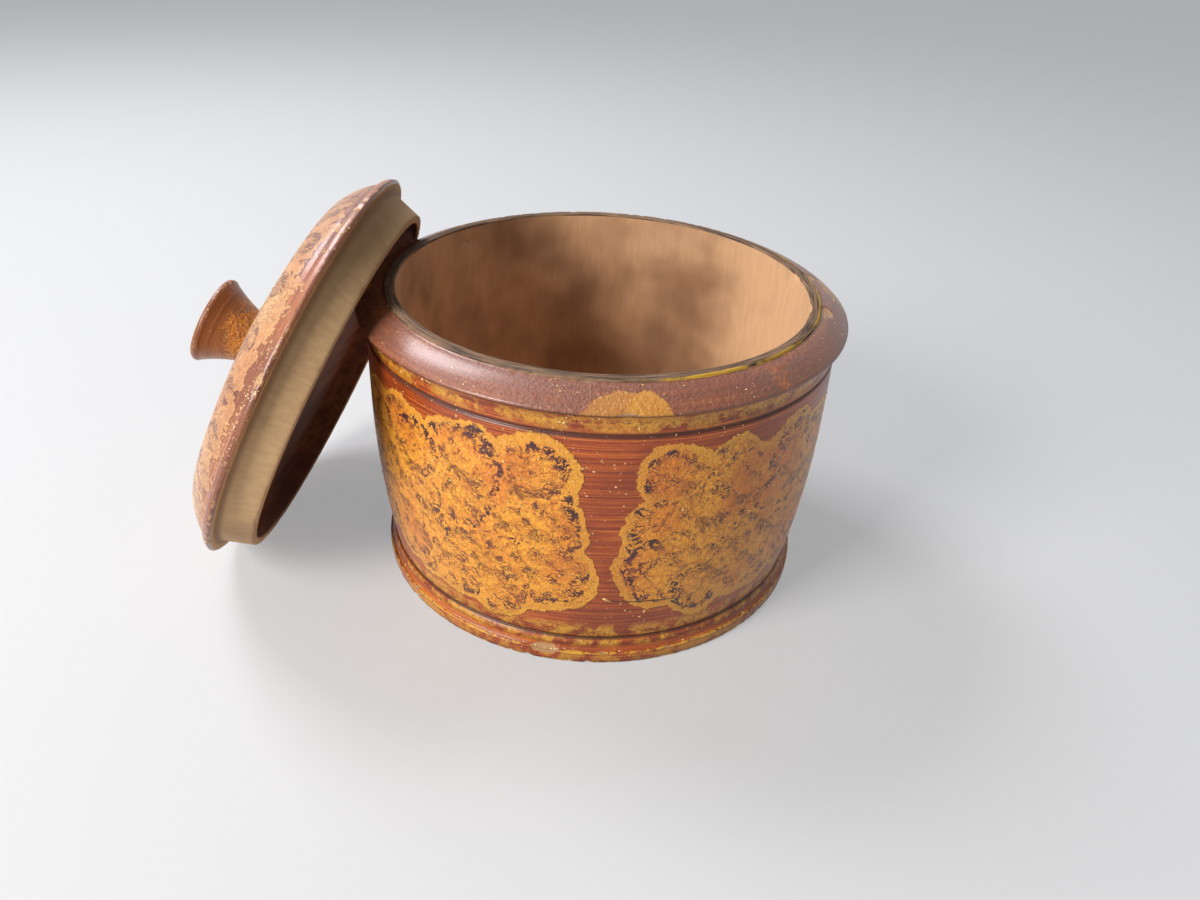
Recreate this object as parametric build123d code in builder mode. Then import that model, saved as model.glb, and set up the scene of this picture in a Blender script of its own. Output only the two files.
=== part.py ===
from build123d import *
import math
import os

# Turned wooden canister with a lift-off lid, in millimetres.
# Origin: the centre of the foot, on the surface that it stands on. +Z is up.
# The lid rests tipped against the canister's -X side, with its edge on the same surface.

# Canister: rim and bore
body_height = 126.0
rim_radius = 90.0
rim_width = 4.5
rim_softening = 0.9
floor_thickness = 10.0
bore_corner_radius = 7.0

# Canister: sloping collar, its ridge and the cove below it
ridge_radius = 101.7
ridge_drop = 7.4
ridge_softening = 1.1
collar_bulge = 0.9
cove_height = 8.4
cove_depth = 1.1
cove_lip = 0.9

# Canister: barrel wall and the line cut at its top
belly_radius = 98.4
belly_height = 76.0
shoulder_radius = 98.0
waist_radius = 92.8
line_width = 1.4
line_depth = 0.8

# Canister: moulded foot
foot_radius = 95.7
foot_edge_height = 5.6
foot_softening = 0.9
foot_slope_height = 2.2
foot_slope_width = 1.9
foot_bead_height = 3.0
foot_bead_bulge = 0.5
foot_line_width = 0.9
foot_line_depth = 0.5
foot_land_width = 13.0
foot_hollow_depth = 1.5

# Lid: flange and dome
flange_inset = 1.5
flange_thickness = 4.6
flange_bevel = 3.7
flange_softening = 1.2
shoulder_inset = 14.6
shoulder_height = 14.6
shoulder_bulge = 0.8
dome_height = 26.0
dome_bulge = 1.1

# Lid: plug that fits the bore, and the hollow inside it
plug_clearance = 3.0
plug_depth = 13.6
plug_taper = 3.0
plug_wall = 3.6
plug_root_fillet = 2.4
plug_softening = 0.7
hollow_corner = 3.0
hollow_rise = 2.0
hollow_edge_drop = 3.0

# Knob, glued into the lid by a tenon
knob_radius = 19.0
knob_height = 19.8
knob_neck_radius = 10.8
knob_edge_width = 3.0
knob_flare_hollow = 0.8
knob_softening = 0.8
knob_crown = 1.4
knob_seat_margin = 0.7
tenon_radius = 6.5
tenon_length = 13.0
tenon_clearance = 0.1
mortise_spare = 1.0

# Lid at rest: tip from level, the way its top points, and where its centre stands
lid_tip = 65.2
lid_heading = 176.5
lid_bearing = 182.7
rest_gap = 0.3
rest_steps = 8

# Sizes that follow
mouth_radius = rim_radius - rim_width
ridge_height = body_height - ridge_drop
cove_bottom = ridge_height - cove_lip - cove_height
line_bottom = cove_bottom - line_width
foot_slope_radius = foot_radius - foot_slope_width
foot_slope_top = foot_edge_height + foot_slope_height
foot_bead_top = foot_slope_top + foot_bead_height
foot_line_top = foot_bead_top + foot_line_width
foot_inner_radius = foot_radius - foot_land_width
flange_radius = rim_radius - flange_inset
arris_radius = flange_radius - flange_bevel
lid_shoulder_radius = flange_radius - shoulder_inset
plug_root_radius = mouth_radius - plug_clearance
plug_end_radius = plug_root_radius - plug_taper
hollow_radius = plug_end_radius - plug_wall
knob_seat_radius = knob_neck_radius + knob_seat_margin
mortise_radius = tenon_radius + tenon_clearance
mortise_depth = tenon_length + mortise_spare


def bulged(start, end, bulge):
    """Return three points of an arc that swells to the right of the way from start to end."""
    run = end[0] - start[0]
    rise = end[1] - start[1]
    length = math.hypot(run, rise)
    middle = (
        (start[0] + end[0]) / 2 + bulge * rise / length,
        (start[1] + end[1]) / 2 - bulge * run / length,
    )
    return start, middle, end


# Canister: one turned piece, drawn as half a section from the foot's middle outwards
with BuildPart() as canister_body:
    with BuildSketch(Plane.XZ):
        with BuildLine():
            # Shallow hollow under the foot, and the flat land it stands on
            Polyline(
                (0, foot_hollow_depth),
                (foot_inner_radius, foot_hollow_depth),
                (foot_inner_radius + foot_hollow_depth, 0),
                (foot_radius - foot_softening, 0),
            )
            RadiusArc(
                (foot_radius - foot_softening, 0),
                (foot_radius, foot_softening),
                -foot_softening,
            )
            Line((foot_radius, foot_softening), (foot_radius, foot_edge_height - foot_softening))
            RadiusArc(
                (foot_radius, foot_edge_height - foot_softening),
                (foot_radius - foot_softening, foot_edge_height),
                -foot_softening,
            )
            Line((foot_radius - foot_softening, foot_edge_height), (foot_slope_radius, foot_slope_top))
            # Bead above the foot and the fine line cut over it
            ThreePointArc(
                *bulged((foot_slope_radius, foot_slope_top), (waist_radius, foot_bead_top), foot_bead_bulge)
            )
            ThreePointArc(
                *bulged((waist_radius, foot_bead_top), (waist_radius, foot_line_top), -foot_line_depth)
            )
            # Barrel wall, upright at its widest
            TangentArc(
                (belly_radius, belly_height),
                (waist_radius, foot_line_top),
                tangent=(0, -1),
            )
            TangentArc(
                (belly_radius, belly_height),
                (shoulder_radius, line_bottom),
                tangent=(0, 1),
            )
            ThreePointArc(
                *bulged((shoulder_radius, line_bottom), (shoulder_radius, cove_bottom), -line_depth)
            )
            # Cove, small step, rounded ridge and sloping collar
            cove_top = (ridge_radius - ridge_softening, ridge_height - cove_lip)
            ThreePointArc(*bulged((shoulder_radius, cove_bottom), cove_top, -cove_depth))
            ridge_top = (ridge_radius - ridge_softening / 2, ridge_height + ridge_softening)
            ThreePointArc(cove_top, (ridge_radius, ridge_height), ridge_top)
            rim_outside = (rim_radius, body_height - rim_softening)
            ThreePointArc(*bulged(ridge_top, rim_outside, collar_bulge))
            # Flat rim and its worn inner edge, then the straight bore
            RadiusArc(rim_outside, (rim_radius - rim_softening, body_height), -rim_softening)
            Line(
                (rim_radius - rim_softening, body_height),
                (mouth_radius + rim_softening, body_height),
            )
            RadiusArc(
                (mouth_radius + rim_softening, body_height),
                (mouth_radius, body_height - rim_softening),
                -rim_softening,
            )
            Line(
                (mouth_radius, body_height - rim_softening),
                (mouth_radius, floor_thickness + bore_corner_radius),
            )
            RadiusArc(
                (mouth_radius, floor_thickness + bore_corner_radius),
                (mouth_radius - bore_corner_radius, floor_thickness),
                bore_corner_radius,
            )
            Polyline(
                (mouth_radius - bore_corner_radius, floor_thickness),
                (0, floor_thickness),
                (0, foot_hollow_depth),
            )
        make_face()
    revolve(axis=Axis.Z)


# Lid: turned on its own axis, with the face that sits on the rim at height 0
with BuildPart() as lid:
    with BuildSketch(Plane.XZ):
        with BuildLine():
            # Hollow inside the plug: shallow domed ceiling, rounded corner and wall
            hollow_corner_in = (hollow_radius - hollow_corner, -hollow_edge_drop)
            hollow_corner_out = (hollow_radius, -hollow_edge_drop - hollow_corner)
            TangentArc((0, hollow_rise), hollow_corner_in, tangent=(1, 0))
            RadiusArc(hollow_corner_in, hollow_corner_out, hollow_corner)
            Line(hollow_corner_out, (hollow_radius, plug_softening - plug_depth))
            RadiusArc(
                (hollow_radius, plug_softening - plug_depth),
                (hollow_radius + plug_softening, -plug_depth),
                -plug_softening,
            )
            Line(
                (hollow_radius + plug_softening, -plug_depth),
                (plug_end_radius - plug_softening, -plug_depth),
            )
            RadiusArc(
                (plug_end_radius - plug_softening, -plug_depth),
                (plug_end_radius, plug_softening - plug_depth),
                -plug_softening,
            )
            # Tapered side of the plug, with a hollowed root that centres it in the mouth
            Line((plug_end_radius, plug_softening - plug_depth), (plug_root_radius, -plug_root_fillet))
            RadiusArc(
                (plug_root_radius, -plug_root_fillet),
                (plug_root_radius + plug_root_fillet, 0),
                plug_root_fillet,
            )
            Line(
                (plug_root_radius + plug_root_fillet, 0),
                (flange_radius - flange_softening, 0),
            )
            # Rounded and bevelled flange edge up to its arris
            RadiusArc(
                (flange_radius - flange_softening, 0),
                (flange_radius, flange_softening),
                -flange_softening,
            )
            ThreePointArc(
                *bulged((flange_radius, flange_softening), (arris_radius, flange_thickness), flange_softening / 2)
            )
            # Sloping band, soft shoulder and low dome up to the knob's flat seat
            ThreePointArc(
                *bulged(
                    (arris_radius, flange_thickness),
                    (lid_shoulder_radius, shoulder_height),
                    shoulder_bulge,
                )
            )
            ThreePointArc(
                *bulged(
                    (lid_shoulder_radius, shoulder_height),
                    (knob_seat_radius, dome_height),
                    dome_bulge,
                )
            )
            Polyline((knob_seat_radius, dome_height), (0, dome_height), (0, hollow_rise))
        make_face()
    revolve(axis=Axis.Z)
    with Locations(Plane.XY.offset(dome_height)):
        Hole(radius=mortise_radius, depth=mortise_depth)


# Knob: a tenon, a neck that flares to a wide face, a rounded edge and a slight crown
with BuildPart() as knob:
    with BuildSketch(Plane.XZ):
        with BuildLine():
            knob_top = dome_height + knob_height
            knob_flare_top = (knob_radius - knob_softening, knob_top - knob_edge_width)
            Polyline(
                (0, knob_top + knob_crown),
                (0, dome_height - tenon_length),
                (tenon_radius, dome_height - tenon_length),
                (tenon_radius, dome_height),
                (knob_neck_radius, dome_height),
            )
            ThreePointArc(*bulged((knob_neck_radius, dome_height), knob_flare_top, -knob_flare_hollow))
            ThreePointArc(
                knob_flare_top,
                (knob_radius, knob_top - knob_edge_width / 2),
                (knob_radius - knob_softening, knob_top),
            )
            TangentArc((0, knob_top + knob_crown), (knob_radius - knob_softening, knob_top), tangent=(1, 0))
        make_face()
    revolve(axis=Axis.Z)


# The lid and its knob leave the rim, tip over and stand on the lid's edge
tip = math.radians(lid_tip)
heading = math.radians(lid_heading)
lid_axis = Vector(
    math.sin(tip) * math.cos(heading),
    math.sin(tip) * math.sin(heading),
    math.cos(tip),
)
lid_downhill = Vector(
    math.cos(tip) * math.cos(heading),
    math.cos(tip) * math.sin(heading),
    -math.sin(tip),
)
outward = Vector(math.cos(math.radians(lid_bearing)), math.sin(math.radians(lid_bearing)), 0)
tipped = Plane(origin=(0, 0, 0), x_dir=lid_downhill, z_dir=lid_axis).location
floor_offset = Vector(0, 0, -lid.part.moved(tipped).bounding_box().min.Z)

# Slid in along the surface until the hollow of the lid all but touches the collar
stand_off = ridge_radius + flange_radius
for step in range(rest_steps):
    lid_place = Location(floor_offset + outward * stand_off) * tipped
    stand_off -= canister_body.part.distance_to(lid.part.moved(lid_place)) - rest_gap
lid_place = Location(floor_offset + outward * stand_off) * tipped
lid.part.locate(lid_place)
knob.part.locate(lid_place)

canister_body.part.label = "canister_body"
lid.part.label = "lid"
knob.part.label = "knob"

os.makedirs("parts", exist_ok=True)
export_step(canister_body.part, "parts/canister_body.step")
export_step(lid.part, "parts/lid.step")
export_step(knob.part, "parts/knob.step")
print("lid centre stands", round(stand_off, 2), "mm from the canister's axis")
print("least gap to the canister", round(canister_body.part.distance_to(lid.part), 3), "mm")
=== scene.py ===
import logging
import math
import random
from dataclasses import dataclass, field
from enum import Enum
from typing import Any, Dict, List, Optional, Sequence, Tuple

import bmesh
import bpy
import numpy as np
from mathutils import Matrix, Vector, noise


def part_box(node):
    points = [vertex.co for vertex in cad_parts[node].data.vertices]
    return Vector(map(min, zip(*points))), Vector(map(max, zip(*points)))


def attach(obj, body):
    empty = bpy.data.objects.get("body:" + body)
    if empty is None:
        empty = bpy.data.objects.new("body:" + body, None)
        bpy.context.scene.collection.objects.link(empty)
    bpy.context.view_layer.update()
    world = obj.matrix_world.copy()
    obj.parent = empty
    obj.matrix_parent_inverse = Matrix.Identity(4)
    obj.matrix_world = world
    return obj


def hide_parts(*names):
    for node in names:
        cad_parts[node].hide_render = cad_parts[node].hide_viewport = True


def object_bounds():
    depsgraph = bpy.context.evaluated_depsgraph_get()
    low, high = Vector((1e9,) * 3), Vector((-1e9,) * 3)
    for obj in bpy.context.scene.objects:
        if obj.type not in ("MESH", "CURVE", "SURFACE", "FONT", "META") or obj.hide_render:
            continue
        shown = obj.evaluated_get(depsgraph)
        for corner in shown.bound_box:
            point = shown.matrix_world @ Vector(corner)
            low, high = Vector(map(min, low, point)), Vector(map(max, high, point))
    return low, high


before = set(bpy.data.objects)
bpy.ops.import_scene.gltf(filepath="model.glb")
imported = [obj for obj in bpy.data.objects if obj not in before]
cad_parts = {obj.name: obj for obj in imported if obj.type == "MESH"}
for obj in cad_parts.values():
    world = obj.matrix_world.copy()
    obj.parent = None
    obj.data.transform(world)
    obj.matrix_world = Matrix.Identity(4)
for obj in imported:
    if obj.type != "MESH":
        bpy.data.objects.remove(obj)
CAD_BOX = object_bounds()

# A turned, painted wooden canister whose lid leans on its collar.
# Sections, chips and decor are drawn in millimetres, and MM turns them into the frame's metres.
# ABOVE_ALL is a height in metres that no piece reaches.
# +Z is up, and the canister stands on the Z axis.

log = logging.getLogger("canister")
MM = 0.001
ABOVE_ALL = 1.0
Colour = Tuple[float, float, float]
Point = Tuple[float, float]


def linear(red: int, green: int, blue: int) -> Colour:
    """Turn a colour of 0 to 255 a channel, as seen on a screen, into the light it stands for.

    Args:
        red: Red channel.
        green: Green channel.
        blue: Blue channel.

    Returns:
        The three channels as linear light from 0 to 1.
    """

    def channel(value: int) -> float:
        """Return one channel as linear light."""
        share = value / 255
        return share / 12.92 if share <= 0.04045 else ((share + 0.055) / 1.055) ** 2.4

    return channel(red), channel(green), channel(blue)


def smooth(value: float, low: float, high: float) -> float:
    """Rise softly from 0 at low to 1 at high."""
    share = min(1.0, max(0.0, (value - low) / (high - low)))
    return share * share * (3 - 2 * share)


def shown(name: str, data: Any) -> bpy.types.Object:
    """Put a new object in the scene, at the origin.

    Args:
        name: The object's name.
        data: Its mesh, light or camera.

    Returns:
        The object.
    """
    thing = bpy.data.objects.new(name, data)
    bpy.context.scene.collection.objects.link(thing)
    return thing


def face_outwards(mesh: bpy.types.Mesh) -> None:
    """Turn the faces of a closed mesh outwards.

    Args:
        mesh: The mesh.
    """
    shell = bmesh.new()
    shell.from_mesh(mesh)
    bmesh.ops.recalc_face_normals(shell, faces=shell.faces)
    shell.to_mesh(mesh)
    shell.free()


def keep(mesh: bpy.types.Mesh, name: str, values: Any, domain: str = "POINT") -> None:
    """Keep a named attribute in a mesh.

    Args:
        mesh: The mesh.
        name: The attribute's name.
        values: One number, or three, for each element.
        domain: The elements, points or face corners.
    """
    numbers = np.array(values, dtype=np.float32)
    kind, entry = ("FLOAT_VECTOR", "vector") if numbers.ndim == 2 else ("FLOAT", "value")
    mesh.attributes.new(name, kind, domain).data.foreach_set(entry, numbers.ravel())


# Node expressions


@dataclass(frozen=True)
class Wire:
    """An output of a node that takes part in Python arithmetic."""

    sheet: "NodeSheet"
    socket: Any

    def maths(self, operation: str, *values: Any) -> "Wire":
        """Add a Math node.

        Args:
            operation: The Math node's operation.
            values: Its inputs in order, as wires or numbers.

        Returns:
            The node's result.
        """
        return self.sheet.add("ShaderNodeMath", {"operation": operation}, dict(enumerate(values)))

    def __add__(self, other: Any) -> "Wire":
        """Return self plus other."""
        return self.maths("ADD", self, other)

    __radd__ = __add__

    def __sub__(self, other: Any) -> "Wire":
        """Return self minus other."""
        return self.maths("SUBTRACT", self, other)

    def __rsub__(self, other: Any) -> "Wire":
        """Return other minus self."""
        return self.maths("SUBTRACT", other, self)

    def __mul__(self, other: Any) -> "Wire":
        """Return self times other."""
        return self.maths("MULTIPLY", self, other)

    __rmul__ = __mul__

    def __truediv__(self, other: Any) -> "Wire":
        """Return self over other."""
        return self.maths("DIVIDE", self, other)

    def __rtruediv__(self, other: Any) -> "Wire":
        """Return other over self."""
        return self.maths("DIVIDE", other, self)

    def __abs__(self) -> "Wire":
        """Return self without its sign."""
        return self.maths("ABSOLUTE", self)

    def or_more(self, other: Any) -> "Wire":
        """Return the larger of the two."""
        return self.maths("MAXIMUM", self, other)

    def or_less(self, other: Any) -> "Wire":
        """Return the smaller of the two."""
        return self.maths("MINIMUM", self, other)

    def beside(self, output: Any) -> "Wire":
        """Return another output of the same node, by its name or number."""
        return Wire(self.sheet, self.socket.node.outputs[output])

    def rise(self, low: float, high: float) -> "Wire":
        """Rise softly from 0 at low to 1 at high.

        Args:
            low: The value at which the rise starts.
            high: The value at which it ends, below low for a fall.

        Returns:
            The softened step.
        """
        start, end, first, last = (low, high, 0.0, 1.0) if low < high else (high, low, 1.0, 0.0)
        return self.sheet.add(
            "ShaderNodeMapRange",
            {"interpolation_type": "SMOOTHSTEP"},
            {"Value": self, "From Min": start, "From Max": end, "To Min": first, "To Max": last},
        )

    def within(self, centre: float, reach: float, soft: float) -> "Wire":
        """Return 1 near centre and 0 past reach from it, with a soft border."""
        return abs(self - centre).rise(reach + soft, reach)


class NodeSheet:
    """The node tree of a material, a world or a scatter."""

    def __init__(self, owner: Any, tree: bpy.types.NodeTree) -> None:
        """Empty the tree.

        Args:
            owner: The material, world or node group.
            tree: Its node tree.
        """
        self.owner = owner
        self.tree = tree
        self.tree.nodes.clear()

    @classmethod
    def of_shader(cls, owner: Any) -> "NodeSheet":
        """Start on a material or a world.

        Args:
            owner: The material or world.

        Returns:
            Its sheet.
        """
        owner.use_nodes = True
        return cls(owner, owner.node_tree)

    @classmethod
    def of_material(cls, name: str) -> "NodeSheet":
        """Start a new material."""
        return cls.of_shader(bpy.data.materials.new(name))

    @classmethod
    def of_scatter(cls, name: str) -> "NodeSheet":
        """Start a new Geometry Nodes group."""
        group = bpy.data.node_groups.new(name, "GeometryNodeTree")
        return cls(group, group)

    def add(
        self,
        kind: str,
        settings: Optional[Dict[str, Any]] = None,
        inputs: Optional[Dict[Any, Any]] = None,
        output: Any = 0,
    ) -> Wire:
        """Add any node.

        Args:
            kind: The node's type.
            settings: Its properties, set before its sockets.
            inputs: Values or wires by socket name or number.
            output: The name or number of the output that is wanted.

        Returns:
            That output as a wire.
        """
        node = self.tree.nodes.new(kind)
        for key, value in (settings or {}).items():
            setattr(node, key, value)
        for key, value in (inputs or {}).items():
            self.feed(node.inputs[key], value)
        return Wire(self, node.outputs[output] if len(node.outputs) else None)

    def feed(self, socket: Any, value: Any) -> None:
        """Set a socket.

        Args:
            socket: The socket.
            value: A wire, a number, a vector or a colour.
        """
        if isinstance(value, Wire):
            self.tree.links.new(value.socket, socket)
        elif isinstance(value, tuple) and socket.type == "RGBA":
            socket.default_value = (*value, 1.0)
        else:
            socket.default_value = value

    def attribute(self, name: str, output: str = "Vector") -> Wire:
        """Read a named attribute of the mesh."""
        return self.add("ShaderNodeAttribute", {"attribute_name": name}, output=output)

    def factor(self, name: str) -> Wire:
        """Read a named attribute of one number."""
        return self.attribute(name, "Fac")

    def split(self, vector: Wire) -> List[Wire]:
        """Return a vector's three numbers."""
        parts = self.add("ShaderNodeSeparateXYZ", inputs={"Vector": vector})
        return [parts.beside(number) for number in range(3)]

    def join(self, x: Any = 0.0, y: Any = 0.0, z: Any = 0.0) -> Wire:
        """Return a vector made of three numbers."""
        return self.add("ShaderNodeCombineXYZ", inputs={"X": x, "Y": y, "Z": z})

    def vectors(self, operation: str, first: Any, second: Any, output: Any = 0) -> Wire:
        """Add a Vector Math node and return one of its outputs."""
        return self.add("ShaderNodeVectorMath", {"operation": operation}, {0: first, 1: second}, output)

    def stretched(self, vector: Wire, across: float, along: float) -> Wire:
        """Scale a vector by one amount across the axis and by another along it."""
        return self.vectors("MULTIPLY", vector, (across, across, along))

    def speckle(
        self, vector: Wire, scale: float, detail: float = 2.0, rough: float = 0.5, output: Any = 0
    ) -> Wire:
        """Return a soft noise around 0.5.

        Args:
            vector: Where it is read.
            scale: Features a metre, or a unit of the vector.
            detail: Octaves.
            rough: The weight of the finer octaves.
            output: 0 for the value, 1 for a colour of three values.

        Returns:
            The noise.
        """
        return self.add(
            "ShaderNodeTexNoise",
            {"noise_dimensions": "3D"},
            {"Vector": vector, "Scale": scale, "Detail": detail, "Roughness": rough},
            output,
        )

    def blend(self, share: Any, first: Any, second: Any) -> Wire:
        """Mix two colours.

        Args:
            share: How much of the second.
            first: The colour at 0.
            second: The colour at 1.

        Returns:
            The mixed colour.
        """
        return self.add(
            "ShaderNodeMix",
            {"data_type": "RGBA", "blend_type": "MIX", "clamp_factor": True},
            {0: share, 6: first, 7: second},
            2,
        )

    def seen(self) -> Wire:
        """Tell the rays that show a surface from those that light the object by it.

        Returns:
            1 for rays from the camera, a mirror or glass, and 0 for the rest.
        """
        camera = self.add("ShaderNodeLightPath", output="Is Camera Ray")
        return (camera + camera.beside("Is Glossy Ray") + camera.beside("Is Transmission Ray")).or_less(1.0)

    def finish(
        self,
        colour: Wire,
        rough: Any,
        height: Wire,
        relief: float,
        coat: Any = 0.0,
        coat_rough: float = 0.25,
        specular: float = 0.5,
    ) -> bpy.types.Material:
        """Close the tree with a Principled shader.

        Args:
            colour: The surface's colour.
            rough: Its roughness.
            height: Its fine relief as a share of relief.
            relief: How deep the relief is, in metres.
            coat: The weight of the varnish on top.
            coat_rough: The varnish's roughness.
            specular: How strongly the plain surface reflects.

        Returns:
            The finished material.
        """
        bump = self.add("ShaderNodeBump", inputs={"Strength": 1.0, "Distance": relief, "Height": height})
        surface = self.add(
            "ShaderNodeBsdfPrincipled",
            inputs={
                "Base Color": colour,
                "Roughness": rough,
                "Coat Weight": coat,
                "Coat Roughness": coat_rough,
                "Specular IOR Level": specular,
                "Normal": bump,
            },
        )
        self.add("ShaderNodeOutputMaterial", inputs={"Surface": surface})
        return self.owner


# Finishes


@dataclass(frozen=True)
class PaintTones:
    """The colours of the paint on a turned outside."""

    ground: Colour = linear(166, 72, 22)
    ground_light: Colour = linear(212, 118, 44)
    ground_dark: Colour = linear(120, 46, 20)
    ochre: Colour = linear(238, 164, 48)
    ochre_deep: Colour = linear(210, 112, 32)
    margin: Colour = linear(216, 156, 48)
    vein: Colour = linear(56, 22, 34)
    vein_soft: Colour = linear(164, 80, 38)
    collar: Colour = linear(122, 80, 62)
    bare: Colour = linear(176, 134, 90)
    # grime_and_shade is real dirt on worn edges and in the scratch, and painted shade in the sunk grooves
    # and corners.
    grime_and_shade: Colour = linear(44, 26, 20)
    crumb: Colour = linear(226, 190, 128)


# The dome's colours are paler, pinker and softer than the body's: its own paint with a painted sheen laid
# into them.
DOME_PAINT_AND_SHEEN = PaintTones(
    ground=linear(150, 84, 50),
    ground_light=linear(190, 126, 80),
    ground_dark=linear(96, 46, 30),
    ochre=linear(208, 164, 112),
    ochre_deep=linear(184, 124, 80),
    vein=linear(108, 60, 46),
    vein_soft=linear(148, 90, 62),
    margin=linear(178, 116, 68),
)

KNOB_TONES = PaintTones(
    ground=linear(138, 80, 34),
    ground_light=linear(158, 98, 40),
    ground_dark=linear(116, 64, 30),
    ochre=linear(204, 134, 40),
    ochre_deep=linear(170, 92, 30),
    margin=linear(190, 118, 40),
    bare=linear(206, 158, 124),
)


@dataclass(frozen=True)
class Scratch:
    """A thin scratch: its two ends round the unrolled wall, its height, its fall and its width."""

    start: float
    end: float
    up: float
    fall: float
    width: float


@dataclass(frozen=True)
class PaintMap:
    """What the paint reads: the mesh's attributes, and the noises that several coats share."""

    sheet: NodeSheet
    turned: Wire
    up: Wire
    collar: Wire
    edge: Wire
    worn: Wire
    sunk: Wire
    band: Wire
    inside: Wire
    lines: Wire
    broad: Wire
    cloud: Wire
    fleck: Wire
    grit: Wire
    rubbed: Wire

    @classmethod
    def of_piece(cls, sheet: NodeSheet, collar_from: float) -> "PaintMap":
        """Read the piece. Brush and lathe lines run round the axis.

        Args:
            sheet: The material's node tree.
            collar_from: The height at which the collar starts.

        Returns:
            All that the paint reads.
        """
        turned = sheet.attribute("turned")
        up = sheet.split(turned)[2]
        return cls(
            sheet=sheet,
            turned=turned,
            up=up,
            collar=up.rise(collar_from, collar_from + 0.8 * MM),
            edge=sheet.factor("edge"),
            worn=sheet.factor("worn"),
            sunk=sheet.factor("sunk"),
            band=sheet.factor("band"),
            inside=sheet.factor("patch"),
            lines=sheet.speckle(sheet.stretched(turned, 9.0, 950.0), 1.0, 3.0, 0.75),
            broad=sheet.speckle(sheet.stretched(turned, 12.0, 330.0), 1.0, 3.0, 0.6),
            cloud=sheet.speckle(turned, 34.0, 3.0),
            fleck=sheet.speckle(turned, 1100.0, 2.0, 0.6),
            grit=sheet.speckle(turned, 520.0, 3.0, 0.7),
            rubbed=sheet.speckle(turned, 150.0, 3.0, 0.6),
        )


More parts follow.
